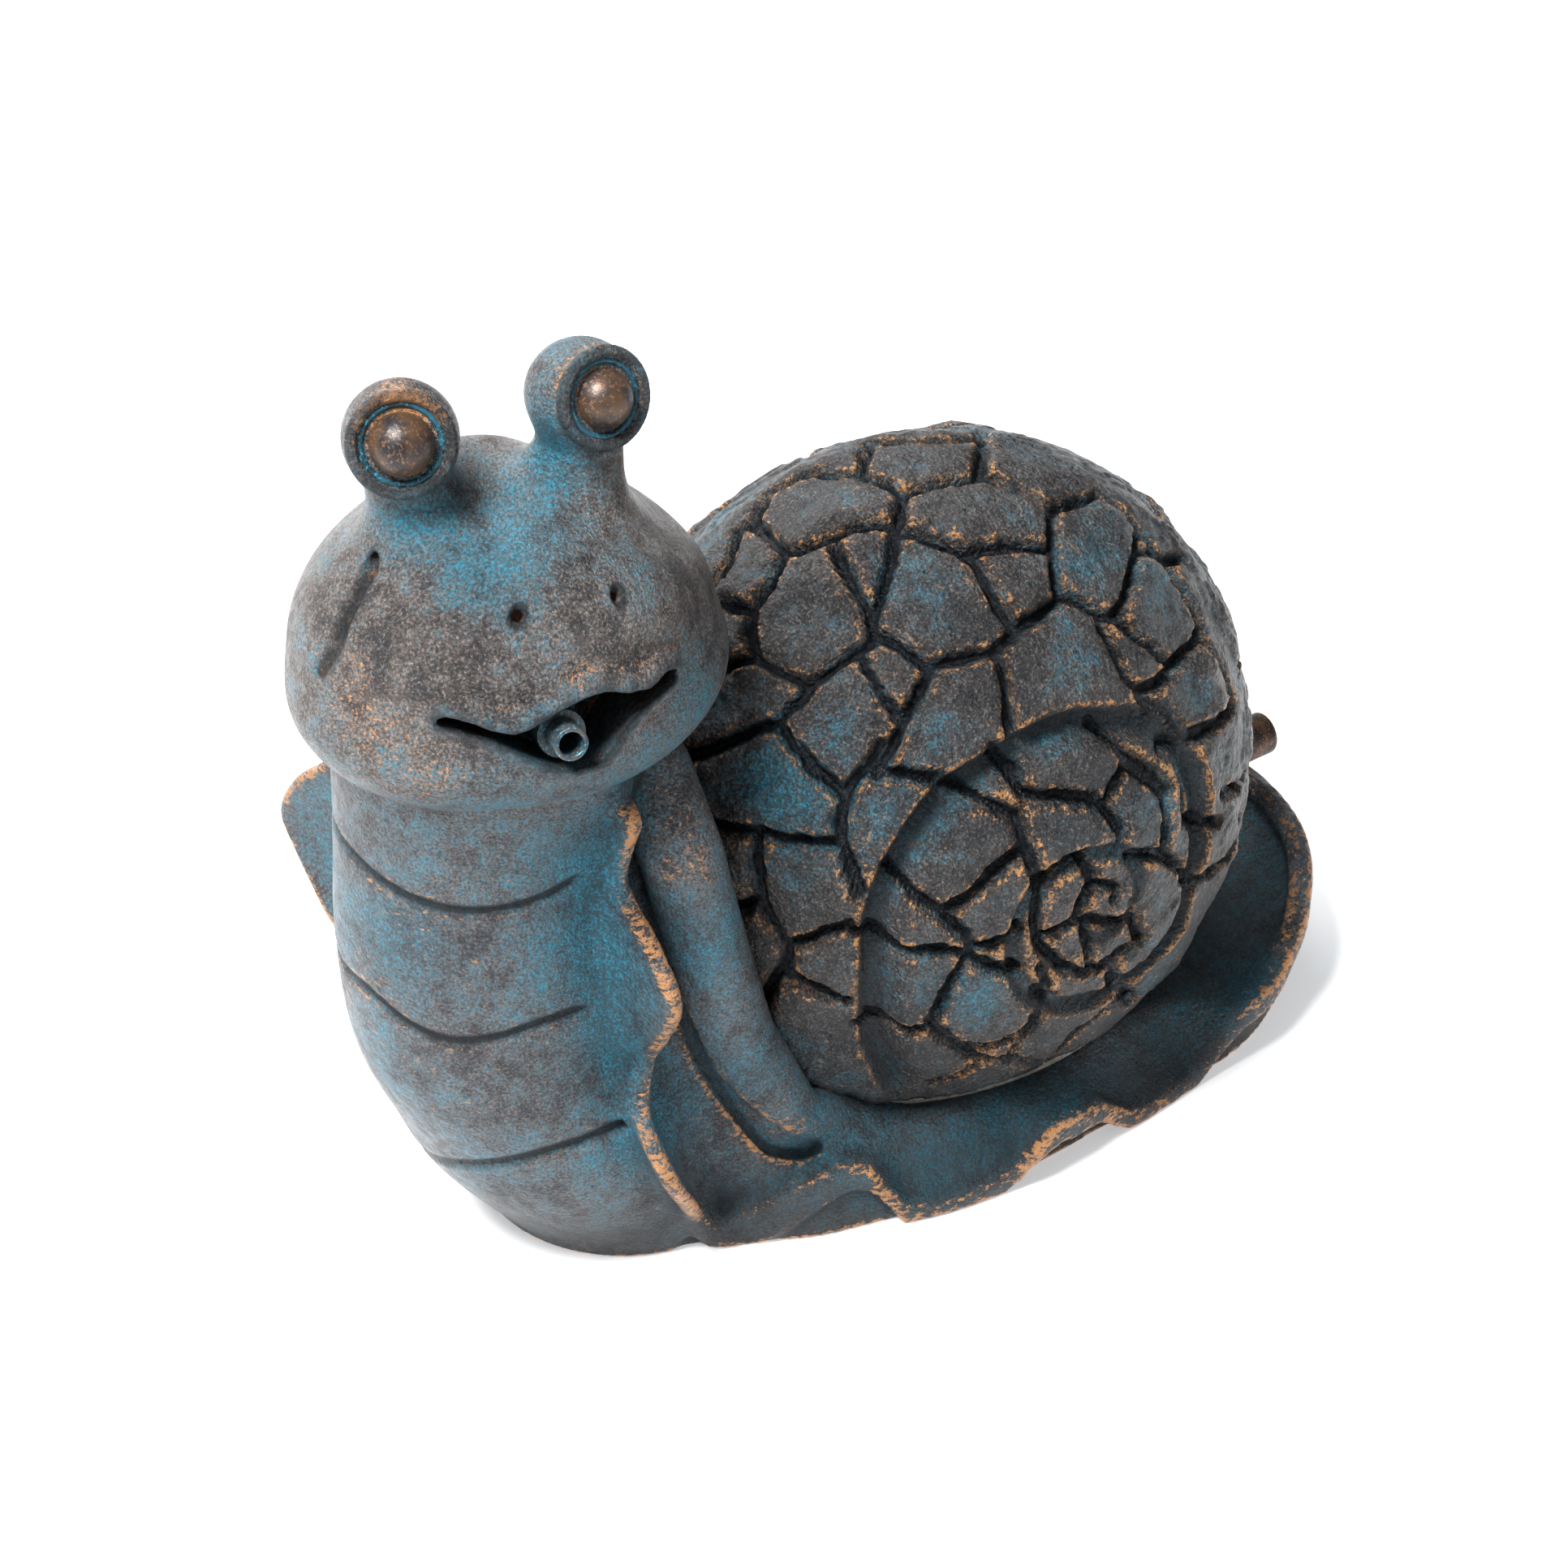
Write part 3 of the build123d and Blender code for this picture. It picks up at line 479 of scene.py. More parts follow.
# Right, up, aim, ball radius, dome radius, dome ahead of the ball's middle
EYES = {
    "eye_left": (-31.0, 85.6, eye_axis(63.0), 19.9, 11.0, 12.2),
    "eye_right": (32.4, 88.4, eye_axis(93.0, 17.0), 19.4, 10.4, 13.4),
}
UPPER_LIP = (
    (-40.7, 13.2), (-38.5, 14.9), (-34.9, 13.8), (-31.3, 12.2), (-24.1, 8), (-17.7, 5.8),
    (-12.3, 6.8), (-8, 8.8), (2.1, 12.8), (9.6, 14.6), (14.1, 14.6), (22.9, 11.2), (30.9, 9.8),
    (34.4, 11.2), (38.1, 13.2), (41.7, 12.8), (44.5, 11.4),
)
LOWER_LIP = (
    (-40.2, 10.8), (-31.8, 7.6), (-25.6, 4.8), (-20.6, 1.6), (-14.8, -2.8), (-8.4, -7.4),
    (-2.5, -10.9), (2, -12), (7.9, -12), (12.4, -11.2), (16.6, -7.4), (19.5, -3.6),
    (24.1, 0.2), (29, 3), (34.1, 5), (40.1, 6.6), (43.1, 8),
)
HEAD_WAX = (
    (-33, 14, 104, 9, 1.2), (-24, 16, 100, 7, 0.9), (-44, 12, 98, 8, 0.9), (-31, 0, 106, 12, 0.6),
    (26, 10, 102, 9, 0.6), (40, 4, 106, 10, 0.5), (-55, 40, -6, 22, 0.45), (-62, 28, 14, 16, 0.3),
    (8, 62, 18, 9, 0.7), (24, 58, 14, 8, 0.6), (22, 46, 62, 12, 0.3), (44, 44, 20, 14, 0.35),
    (0, 60, -16, 12, 0.4), (-40, 54, -14, 10, 0.5),
)
BROW = ((-36.5, -12.7, 51.7), (-39.4, 5.1, 51.6), (-48.5, 12.8, 45.5), (-57.5, 17.2, 37.4),
        (-67, 22.1, 23.2), (-72.8, 19.1, 12.9))
NOSTRILS = ((-8.8, 49.7, 38.9), (25.4, 47.3, 37.0))
HEAD_GLAZE = (
    (0, 25, 52, 22, 0.9), (-16, 34, 42, 16, 0.8), (18, 8, 76, 16, 1.1), (-32, 10, 62, 15, 1.0),
    (-10, 58, 0, 20, 0.7), (18, 50, -32, 24, 0.9), (-26, 46, -34, 24, 0.8), (52, 42, -6, 20, 0.6),
    (-62, 26, -24, 18, 0.3), (28, -4, 100, 13, 0.5), (-18, 2, 78, 12, 0.7), (36, 36, 36, 14, 0.4),
)


# %% Head form
def polygon(px, py, corners):
    """Signed distance to a closed outline in the plane."""
    corners = np.asarray(corners, float)
    found = np.full(px.shape, 1e6)
    inside = np.zeros(px.shape, bool)
    for a, b in zip(corners, np.roll(corners, -1, 0)):
        ab = b - a
        t = np.clip(((px - a[0]) * ab[0] + (py - a[1]) * ab[1]) / (ab @ ab), 0, 1)
        found = np.minimum(found, np.hypot(px - a[0] - t * ab[0], py - a[1] - t * ab[1]))
        if a[1] != b[1]:
            over = (a[1] > py) != (b[1] > py)
            inside ^= over & (px < (b[0] - a[0]) * (py - a[1]) / (b[1] - a[1]) + a[0])
    return np.where(inside, -found, found)


def sample(field, axes, points):
    """The field's value at points between the grid's own."""
    start = np.array([a.ravel()[0] for a in axes])
    step = float(axes[0].ravel()[1] - axes[0].ravel()[0])
    p = (np.asarray(points) - start) / step
    i = np.clip(np.floor(p).astype(int), 0, np.array(field.shape) - 2)
    f = p - i
    total = 0
    for dx in (0, 1):
        for dy in (0, 1):
            for dz in (0, 1):
                share = 1
                for k, d in enumerate((dx, dy, dz)):
                    share = share * (f[..., k] if d else 1 - f[..., k])
                total = total + share * field[i[..., 0] + dx, i[..., 1] + dy, i[..., 2] + dz]
    return total


step = 1.2
axes = grid((-86, -76, -40), (86, 80, 116), step)
r, f, u = axes
field = join(
    ellipsoid(r, f, u, (0, -1.5, 0), (75.5, 64, 60)),
    ellipsoid(r, f, u, (0, 2.6, -12), (78, 66, 42)), 5,
)
field = join(field, ellipsoid(r, f, u, (0, 29, 14), (52, 36, 36)), 12)
field = join(field, ellipsoid(r, f, u, (-3, -16, 44), (31, 28, 21)), 8)
field = cut(field, 62 - 0.6 * r - 0.8 * u, 8)
plain = field.copy()
cp, sp = math.cos(SPOUT_PITCH), math.sin(SPOUT_PITCH)


def spout_point(right, up, out):
    """A point of the spout's frame in the head's: right, forward, up."""
    return np.array((right, out * cp - up * sp, SPOUT_ROOT + out * sp + up * cp))


def face_depth(right, up):
    """How far out along the spout the face lies."""
    out = np.arange(40, 90, 0.5)
    line = np.stack([spout_point(right, up, s) for s in out])
    value = sample(plain, axes, line)
    return float(out[np.argmax(value > 0)])


def on_face(point):
    """Where a line from the head's middle through a point leaves the plain head."""
    line = np.asarray(point, float) / np.linalg.norm(point) * np.arange(30, 100, 0.5)[:, None]
    return line[np.argmax(sample(plain, axes, line) > 0)]


upper = [spout_point(a, b, face_depth(a, b)) for a, b in UPPER_LIP]
lower = [spout_point(a, b, face_depth(a, b)) for a, b in LOWER_LIP]
for place, (ups, radius) in (("upper", (upper, 3.6)), ("lower", (lower, 1.9))):
    block, (br, bf, bu) = near(axes, (-52, 20, -45), (56, 80, 40))
    local = field[block]
    for i, (a, b) in enumerate(zip(ups, ups[1:])):
        middle_share = 1 - abs(2 * (i + 0.5) / (len(ups) - 1) - 1)
        size = radius * (0.55 + 0.45 * min(1, 2 * middle_share))
        lift = np.array((0, 0, size * 0.8 if place == "upper" else -size * 0.6))
        local = join(local, rod(br, bf, bu, a + lift, b + lift, size, size), 3.5)
    field[block] = local
for ex, eu, aim, ball_radius, dome_radius, dome_ahead in EYES.values():
    ball = np.array((ex, 0, eu))
    block, (br, bf, bu) = near(axes, (ex - 40, -40, 10), (ex + 40, 40, 116))
    local = field[block]
    root = (0.84 * ex, 0, 28.0)
    local = join(local, rod(br, bf, bu, root, ball, 17.5, 14.0), 15)
    local = join(local, np.sqrt((br - ex) ** 2 + bf ** 2 + (bu - eu) ** 2) - ball_radius, 4)
    ahead = (br - ex) * aim[0] + bf * aim[1] + (bu - eu) * aim[2]
    away = np.sqrt(np.maximum((br - ex) ** 2 + bf ** 2 + (bu - eu) ** 2 - ahead ** 2, 0))
    plate = dome_ahead + 0.6
    lid = np.sqrt((away - dome_radius - 5.4) ** 2 + (ahead - plate) ** 2) - 2.6
    local = join(local, lid, 2.0)
    field[block] = cut(local, np.maximum(away - dome_radius - 3.6, plate - ahead), 0.5)
crease = [on_face(place) for place in BROW]
crease = list(zip(crease, crease[1:]))
for a, b in crease:
    block, (br, bf, bu) = near(axes, np.minimum(a, b) - 12, np.maximum(a, b) + 12)
    field[block] = cut(field[block], rod(br, bf, bu, a, b, 1.9, 1.9), 2.4)
slits = []
for hole in NOSTRILS:
    slant = np.array((0.9, 0, 2.2))
    a, b = on_face(hole - slant), on_face(hole + slant)
    slits.append((a, b))
    block, (br, bf, bu) = near(axes, np.subtract(hole, 16), np.add(hole, 16))
    inner = rod(br, bf, bu, (a + b) / 2, (a + b) * 0.45, 2.4, 1.9)
    slit = np.minimum(rod(br, bf, bu, a, b, 2.2, 1.8), inner)
    field[block] = cut(field[block], slit, 1.0)
block, (br, bf, bu) = near(axes, (-56, 10, -45), (56, 80, 44))
out = bf * cp + (bu - SPOUT_ROOT) * sp
up = -bf * sp + (bu - SPOUT_ROOT) * cp
right, out, up = np.broadcast_arrays(br, out, up)
mouth = polygon(right, up, UPPER_LIP + LOWER_LIP[::-1])
field[block] = cut(field[block], np.maximum(mouth, 36 - out), 1.2)
hollow = np.maximum(plain + 12, np.abs(u - 12) - 42)
around = np.maximum(np.abs(right) - 50, np.maximum(np.abs(up + 3) - 25, 27 - out))
local = hollow[block]
hollow[block] = np.maximum(local, -around)
field = np.maximum(field, -hollow)
field = cut(field, u + 36, 2.0)
passage = np.maximum(np.sqrt((r + 5.5) ** 2 + (f + 2) ** 2) - 32, u + 20)
field = np.maximum(field, -passage)
points, quads = skin(field.astype(np.float32), axes)
# The cheek crease and the nostril slits, kept as a mark that the paint darkens as shade.
dark = np.maximum(1 - ease(distance_to(points, crease), 2.0, 3.2),
                  1 - ease(distance_to(points, slits), 2.4, 3.2))
dabs = {"glaze": spots(points, HEAD_GLAZE), "wax": spots(points, HEAD_WAX), "ink_and_shade": dark}


def from_head(points):
    """Points of the head's frame in the world's."""
    level = HEAD_CENTRE + points[:, :1] * HEAD_RIGHT + points[:, 1:2] * HEAD_FORWARD
    return level + points[:, 2:] * (0, 0, 1)


def turned(profile, sides):
    """Points and quads of a closed profile of (radius, ahead) turned about its axis."""
    angle = np.arange(sides) * 2 * math.pi / sides
    profile = np.asarray(profile, float)
    points = np.stack([
        profile[:, :1] * np.cos(angle), profile[:, :1] * np.sin(angle), profile[:, 1:] + 0 * angle], -1)
    i, j = np.meshgrid(np.arange(len(profile)), np.arange(sides), indexing="ij")
    after, beside = (i + 1) % len(profile), (j + 1) % sides
    quads = np.stack([i * sides + j, i * sides + beside, after * sides + beside, after * sides + j], -1)
    return points.reshape(-1, 3), quads.reshape(-1, 4)


head = build("head", from_head(points), quads, dabs)
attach(head, "figure")
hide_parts("head_casting")

# %% [markdown]
# Each eye is a smooth dome pressed into its socket, with a narrow glazed ring and the
# rolled lid round it.

# %% Eye domes and rings
RING = ((-1.2, -3), (0, -1.4), (0.7, -1.5), (1.2, 0.4), (1.7, 1.3), (2.3, 1.6), (3.0, 1.5), (3.7, 1.0),
        (4.2, 0.2), (4.2, -3))
domes, rings = [], []
for name, (ex, eu, aim, _, dome_radius, dome_ahead) in EYES.items():
    points, quads = cube_ball(24)
    points = points * dome_radius + (ex, 0, eu) + aim * dome_ahead
    dome = build(name + "_dome", from_head(points), quads)
    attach(dome, "figure")
    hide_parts(name)
    domes.append(dome)
    points, quads = turned(np.add(RING, (dome_radius, dome_ahead)), 96)
    beside = np.cross(aim, (0, 0, 1))
    beside /= np.linalg.norm(beside)
    points = points @ np.stack([beside, np.cross(aim, beside), aim]) + (ex, 0, eu)
    ring = build(name + "_ring", from_head(points), quads)
    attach(ring, "figure")
    rings.append(ring)

# %% [markdown]
# The shell is the third casting: a wide dome covered with cracked tiles, and on
# each flank a ledge that winds in to the middle. The tiles' joints on the side that is
# seen were read as short runs of points, and are laid on the dome along the line
# of sight. The far flank has the same joints mirrored, and the back has the joints of
# the solid model, bent a little.

# %% Camera numbers, also used to lay the joints on the dome
VIEW_TURN, VIEW_RISE = math.radians(54), math.radians(36)
VIEW_TARGET = np.array(SHELL_CENTRE, float)
VIEW_DISTANCE = 1600.0
VIEW_BACK = np.array((math.sin(VIEW_TURN) * math.cos(VIEW_RISE),
                      -math.cos(VIEW_TURN) * math.cos(VIEW_RISE), math.sin(VIEW_RISE)))
VIEW_RIGHT = np.array((math.cos(VIEW_TURN), math.sin(VIEW_TURN), 0))
VIEW_UP = np.cross(VIEW_BACK, VIEW_RIGHT)
VIEW_EYE = VIEW_TARGET + VIEW_DISTANCE * VIEW_BACK
FOCUS, TARGET_X, TARGET_Y, PICTURE = 5079.0, 1131.0, 950.0, 1932.0

# %% Tile joints
JOINTS_UPPER = """
345 160 460 165 520 185 560 210 640 185 750 158|750 158 800 175 870 205 935 240
490 95 470 130 460 165|760 70 765 110 755 160|490 95 600 85 750 80|565 210 558 250 548 295
270 355 310 350 370 330 430 300 490 285 548 295|345 160 240 210 190 280 215 300 270 350
190 280 150 310 125 370 95 430|110 475 180 495|270 355 230 430 190 490|185 495 180 550 190 600 200 620
200 620 270 660 330 690|330 690 380 650 440 610 485 575 490 540|395 340 420 400 450 450 480 500 490 540
548 295 535 370 515 440 495 500 490 540|548 300 600 310 660 330 720 360|720 360 760 345 850 335 935 345
735 360 770 420 800 480 850 545|500 555 560 590 630 640 700 625 790 605 835 570 850 550
850 550 900 515 960 470|940 240 940 300 945 380 950 430 965 465|965 460 1010 480 1060 515 1085 520
1150 345 1135 420 1110 490 1085 520|940 240 1000 225 1050 215|1050 215 1100 250 1150 300 1150 345
1060 540 1085 590 1110 650 1150 700|1085 520 1130 550 1190 600 1240 640
1150 710 1200 680 1240 645 1270 610 1300 575|1160 720 1240 760 1280 815 1340 790 1370 740
1155 345 1210 370 1250 430 1290 490 1310 550 1300 575|1150 300 1210 370 1260 375
1310 570 1350 640 1370 700 1380 740 1340 790|455 610 490 670 530 730 560 775
640 650 610 700 580 760 565 780|640 650 600 720 570 780 545 840 520 880 500 915
800 620 825 680 830 740 835 800|260 790 300 850 350 910|330 690 290 735 255 775
250 780 190 800 100 840 40 860 0 870|125 640 190 615|790 840 820 870 860 900
1055 780 1090 820 1120 860 1180 900 1230 950|1215 850 1235 830 1280 825 1330 800 1350 780
"""
JOINTS_LOWER = """
270 0 310 60 350 100 380 125|470 0 440 50 400 90 385 125|440 55 500 65 560 75 640 90
385 125 370 190 375 240 395 300 425 370|0 190 90 200 170 210 240 235 300 240 365 245
165 215 155 270 165 350 185 420 210 460 235 500 240 530|90 410 130 400 160 385
240 500 300 480 340 460 390 440|215 575 280 590 340 620 385 640|165 645 190 610 215 575
240 530 220 575|645 90 720 130 800 170|770 30 800 60 830 120 870 130 920 125 990 130 1025 150
1075 60 1050 110 1025 150|1080 40 1130 70 1180 110|815 170 830 230 855 300 865 350
1025 150 1055 180 1070 215 1065 225|820 260 760 310 700 360 640 400
480 300 540 360 600 400 650 440 690 480 690 510|405 460 450 470 510 510 600 505 690 510
690 510 760 490 820 460|700 530 760 555 820 565|690 520 650 580 620 640 590 690
410 695 470 700 540 710 590 695 640 730 700 770 800 775 880 790
590 690 660 735 720 740 800 720 850 680 870 640 880 580 870 550|800 750 850 700 900 620
900 760 960 700 1040 640 1100 630|600 840 660 820 700 790
975 270 990 310 1000 330 980 370 960 430 900 470 885 475|1000 350 1040 345 1060 355 1050 375
990 440 1040 440 1090 430 1100 410|985 440 990 490 985 540|1100 270 1160 270 1220 300
1100 430 1110 470 1120 480|1170 270 1180 190 1185 120|1240 190 1310 185
1220 320 1260 340 1300 300 1340 240 1370 180|1230 180 1230 100 1215 60|1320 120 1380 90
1040 560 1060 600 1100 630 1120 640|980 263 909 303 874 374 859 444 874 504
874 504 919 550 975 560 1035 540 1085 505
"""


def on_dome(px, py):
    """Where a line of sight meets the shell's plain dome."""
    aim = -VIEW_BACK * FOCUS + VIEW_RIGHT * (px - TARGET_X) - VIEW_UP * (py - TARGET_Y)
    radii = np.array(SHELL_RADII, float)
    o, d = (VIEW_EYE - SHELL_CENTRE) / radii, aim / radii
    a, b, c = d @ d, o @ d, o @ o - 1
    inner = b * b - a * c
    return VIEW_EYE + aim * (-b - math.sqrt(max(inner, 0))) / a


RUN_PIXELS = 14


def joint_runs(text, left, top):
    """Short runs on the dome from rows of half pixels, counted from a corner of the photo."""
    runs = []
    for line in text.replace("|", "\n").strip().splitlines():
        numbers = [float(n) for n in line.split()]
        places = [(left + a / 2, top + b / 2) for a, b in zip(numbers[::2], numbers[1::2])]
        for (ax, ay), (bx, by) in zip(places, places[1:]):
            parts = max(1, int(math.hypot(bx - ax, by - ay) / RUN_PIXELS))
            line = [on_dome(ax + (bx - ax) * k / parts, ay + (by - ay) * k / parts)
                    for k in range(parts + 1)]
            runs += list(zip(line, line[1:]))
    return runs


UPPER_CORNER, LOWER_CORNER = (830, 500), (850, 920)
runs = joint_runs(JOINTS_UPPER, *UPPER_CORNER) + joint_runs(JOINTS_LOWER, *LOWER_CORNER)
print(len(runs), "short runs of tile joint")


# %% Dome points
ball, quads = cube_ball(128)
radii = np.array(SHELL_RADII, float)
dome = SHELL_CENTRE + ball * radii
outward = ball / radii
outward /= np.linalg.norm(outward, axis=1)[:, None]
to_seen = VIEW_EYE - dome
to_seen /= np.linalg.norm(to_seen, axis=1)[:, None]
facing = (outward * to_seen).sum(1)


# %% Back joints: share of the half width and of a turn from the tail over the top, for both ends
BACK_JOINTS = """
-.27 .28 .07 .27|.07 .27 .10 .23|.10 .23 .30 .20|-.13 .20 .10 .23|-.26 .25 -.09 .21|.07 .27 .18 .28
-.01 .32 .18 .28|-.27 .28 -.27 .32|-.27 .32 -.02 .32|-.25 .32 -.15 .35|-.01 .32 .06 .35|.06 .35 .39 .36
.30 .20 .24 .17|.24 .17 .44 .16|.44 .16 .65 .20|.65 .20 .80 .18|.65 .20 .74 .15|.80 .18 .64 .12
.80 .18 .84 .11|.84 .11 .71 .07|.44 .15 .64 .12|.44 .15 .39 .12|.64 .12 .71 .07|.39 .36 .13 .42
.84 .22 .92 .12|.27 .44 .66 .42|.93 .00 .68 -.03|.84 .03 .63 -.01|-.13 .20 -.24 .17|.24 .17 .15 .11
-.24 .17 -.15 .11|.15 .11 -.15 .11|.15 .11 .39 .12|-.15 .11 -.39 .12|.39 .12 .44 .05|.44 .05 .71 .07
.44 .05 .34 -.01|.15 .11 .08 .04|.08 .04 -.24 .03|.08 .04 .34 -.01|.34 -.01 .63 -.01|.34 -.01 .38 -.08
-.24 .03 -.34 -.01
"""


def dome_place(across, turn):
    """A place on the dome from its two shares."""
    turn, across = np.multiply(turn, 2 * math.pi), np.asarray(across)
    ring = np.sqrt(1 - across ** 2)
    return SHELL_CENTRE + np.stack([across, ring * np.cos(turn), ring * np.sin(turn)], -1) * radii


MIRROR_SHARE, SEEN = 0.28, 0.13
backs = []
for line in BACK_JOINTS.replace("|", "\n").strip().splitlines():
    a, turn_a, b, turn_b = [float(n) for n in line.split()]
    shares = np.linspace(0, 1, 5)
    for side in (1, -1) if min(a, b) >= MIRROR_SHARE else (1,):
        spine = dome_place(side * (a + (b - a) * shares), turn_a + (turn_b - turn_a) * shares)
        backs += list(zip(spine, spine[1:]))
mirrored = dome * (-1, 1, 1)
to_mirror = VIEW_EYE - mirrored
mirror_facing = (outward * (-1, 1, 1) * to_mirror).sum(1) / np.linalg.norm(to_mirror, axis=1)
warp = np.stack([lumps(dome + k * 57, 16) - 0.5 for k in range(3)], 1) * 5
gap = np.where(facing > SEEN, distance_to(dome, runs), distance_to(dome + warp, backs))
flank = (facing <= SEEN) & (mirror_facing > SEEN) & (dome[:, 0] < -30)
gap = np.where(flank, distance_to(mirrored, runs), gap)

# %% Relief
# The ledge: degrees round the shell's axis, and how far from it
TURNS = (-600, -540, -480, -420, -360, -320, -288, -254, -228, -180, -136, -90, -56, -32, -12,
         10, 40, 63, 77, 90, 115, 129, 142, 165, 180, 206, 224, 240)
REACHES = (6, 9, 12, 16, 21, 27, 31, 33, 38, 40, 43, 50, 56, 60, 60,
           65, 74, 79, 79, 82, 85, 89, 90, 91, 90, 96, 103, 112)
LEDGE_START, LEDGE_END, LEDGE_FADE = -600, 236, 14
SHELL_FOOT = 35
around_y, around_z = dome[:, 1] - SHELL_CENTRE[1], dome[:, 2] - SHELL_CENTRE[2]
reach = np.hypot(around_y, around_z)
angle = np.degrees(np.arctan2(around_z, around_y))
ledge = np.zeros(len(dome))
band = np.zeros(len(dome))
for turn in (-720, -360, 0, 360):
    at = angle + turn
    edge = curve(at, TURNS, REACHES)
    inward = edge - reach
    drop = np.clip(edge / 9, 2.5, 7.5)
    wall = ease(inward, -0.5, 2.2)
    back = 1 - ease(inward, 5, np.clip(edge / 4, 7, 17))
    held = (at > LEDGE_START) & (at < LEDGE_END)
    fade = ease(LEDGE_END - at, 0, LEDGE_FADE)
    ledge = np.where(held, np.maximum(ledge, drop * wall * back * fade), ledge)
    # The band just inside the ledge's edge is smoothed in the relief and kept as the ledge mark, which the
    # paint darkens as shade.
    broad_edge = np.clip(edge / 10, 2.5, 9)
    shade = ease(inward, -0.8, 0.8) * (1 - ease(inward, broad_edge * 0.6, broad_edge * 1.3))
    band = np.where(held, np.maximum(band, shade * fade), band)
chips = (lumps(dome, 3.6) - 0.5) * 1.5 + (lumps(dome, 9) - 0.5) * 1.5
ragged = gap + chips
width = 1.9 + 0.8 * lumps(dome, 30)
crack = 1 - ease(ragged, width * 0.6, width * 1.5)
crack *= ease(dome[:, 2], 36, 40)
shoulder = 1 - ease(gap, 1.5, 8)
coarse = lumps(dome, 26) + 0.5 * lumps(dome, 13)
terrace = lumps(dome, 17) * 5 + lumps(dome, 6) * 1.2
flakes = np.floor(terrace) + ease(terrace % 1, 0.75, 1)
grain = lumps(dome, 3.0) - 0.5
height = (coarse - 0.75) * 2.0 + (flakes - 3) * 0.8 + grain * 0.8
height *= 1 - 0.7 * band
height -= 0.9 * shoulder + 4.8 * crack * (1 - 0.5 * band) + ledge
points = dome + outward * height[:, None]
points[:, 2] = np.maximum(points[:, 2], SHELL_FOOT)
step_edge = np.abs(terrace % 1 - 0.8)
SHELL_GLAZE = (
    (60, -60, 190, 26, 0.8), (40, 0, 255, 20, 0.5), (88, -20, 190, 22, 0.6), (108, 40, 170, 24, 0.5),
    (100, -20, 110, 24, 0.7), (108, 80, 150, 22, 0.6), (104, 70, 80, 22, 0.5), (60, 110, 225, 26, 0.5),
)
# The ledge mark is the painted shade band inside the ledge's edge.
shell = build("shell", points, quads, {
    "glaze": spots(dome, SHELL_GLAZE), "gap": np.minimum(ragged, 12) + 12 * (dome[:, 2] < 38),
    "ledge": band, "step": step_edge})
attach(shell, "figure")
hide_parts("shell_casting")

# %% [markdown]
# Paint. The castings are stained dark slate brown, sponged with a teal metallic glaze
# that stays in the hollows, and rubbed with copper wax on every edge. Painted shade
# darkens small hollows, the marked grooves and the bottom near the ground, and light
# grey specks are painted in as sheen. How sharply the form bulges and the dabs listed
# above, both kept with each mesh, say where each goes.

# %% Colour and node helpers
def colour(code):
    """An sRGB hex colour as linear values."""
    parts = [int(code[i:i + 2], 16) / 255 for i in (1, 3, 5)]
    line = [c / 12.92 if c <= 0.04045 else ((c + 0.055) / 1.055) ** 2.4 for c in parts]
    return (*line, 1)


def add(tree, kind, inputs=None, **settings):
    """A node with its settings; an input is a number, a colour or another node's socket."""
    node = tree.nodes.new(kind)
    for key, value in settings.items():
        setattr(node, key, value)
    for key, value in (inputs or {}).items():
        if isinstance(value, bpy.types.NodeSocket):
            tree.links.new(value, node.inputs[key])
        else:
            node.inputs[key].default_value = value
    return node


def mix(tree, share, a, b):
    node = add(tree, "ShaderNodeMix", {0: share, 6: a, 7: b}, data_type="RGBA")
    return node.outputs[2]


def ramp(tree, value, low, high, top=1.0, bottom=0.0):
    node = add(tree, "ShaderNodeMapRange", {0: value, 1: low, 2: high, 3: bottom, 4: top})
    return node.outputs[0]


def calc(tree, operation, a, b):
    node = add(tree, "ShaderNodeMath", {0: a, 1: b}, operation=operation)
    return node.outputs[0]


def total(tree, *terms):
    """Sum of value and weight pairs."""
    found = 0.0
    for value, weight in terms:
        node = add(tree, "ShaderNodeMath", {0: value, 1: weight, 2: found}, operation="MULTIPLY_ADD")
        found = node.outputs[0]
    return found


def mark(tree, name):
    """A number that was kept with the mesh."""
    return add(tree, "ShaderNodeAttribute", attribute_name=name).outputs["Fac"]


def speckle(tree, place, size_mm, detail=2.0, roughness=0.5):
    """Noise whose lumps are size_mm wide."""
    node = add(tree, "ShaderNodeTexNoise",
               {"Vector": place, "Scale": 1000 / size_mm, "Detail": detail, "Roughness": roughness})
    return node.outputs[0]


def new_material(name):
    material = bpy.data.materials.new(name)
    material.use_nodes = True
    tree = material.node_tree
    place = add(tree, "ShaderNodeTexCoord").outputs["Object"]
    return material, tree, place, tree.nodes["Principled BSDF"]


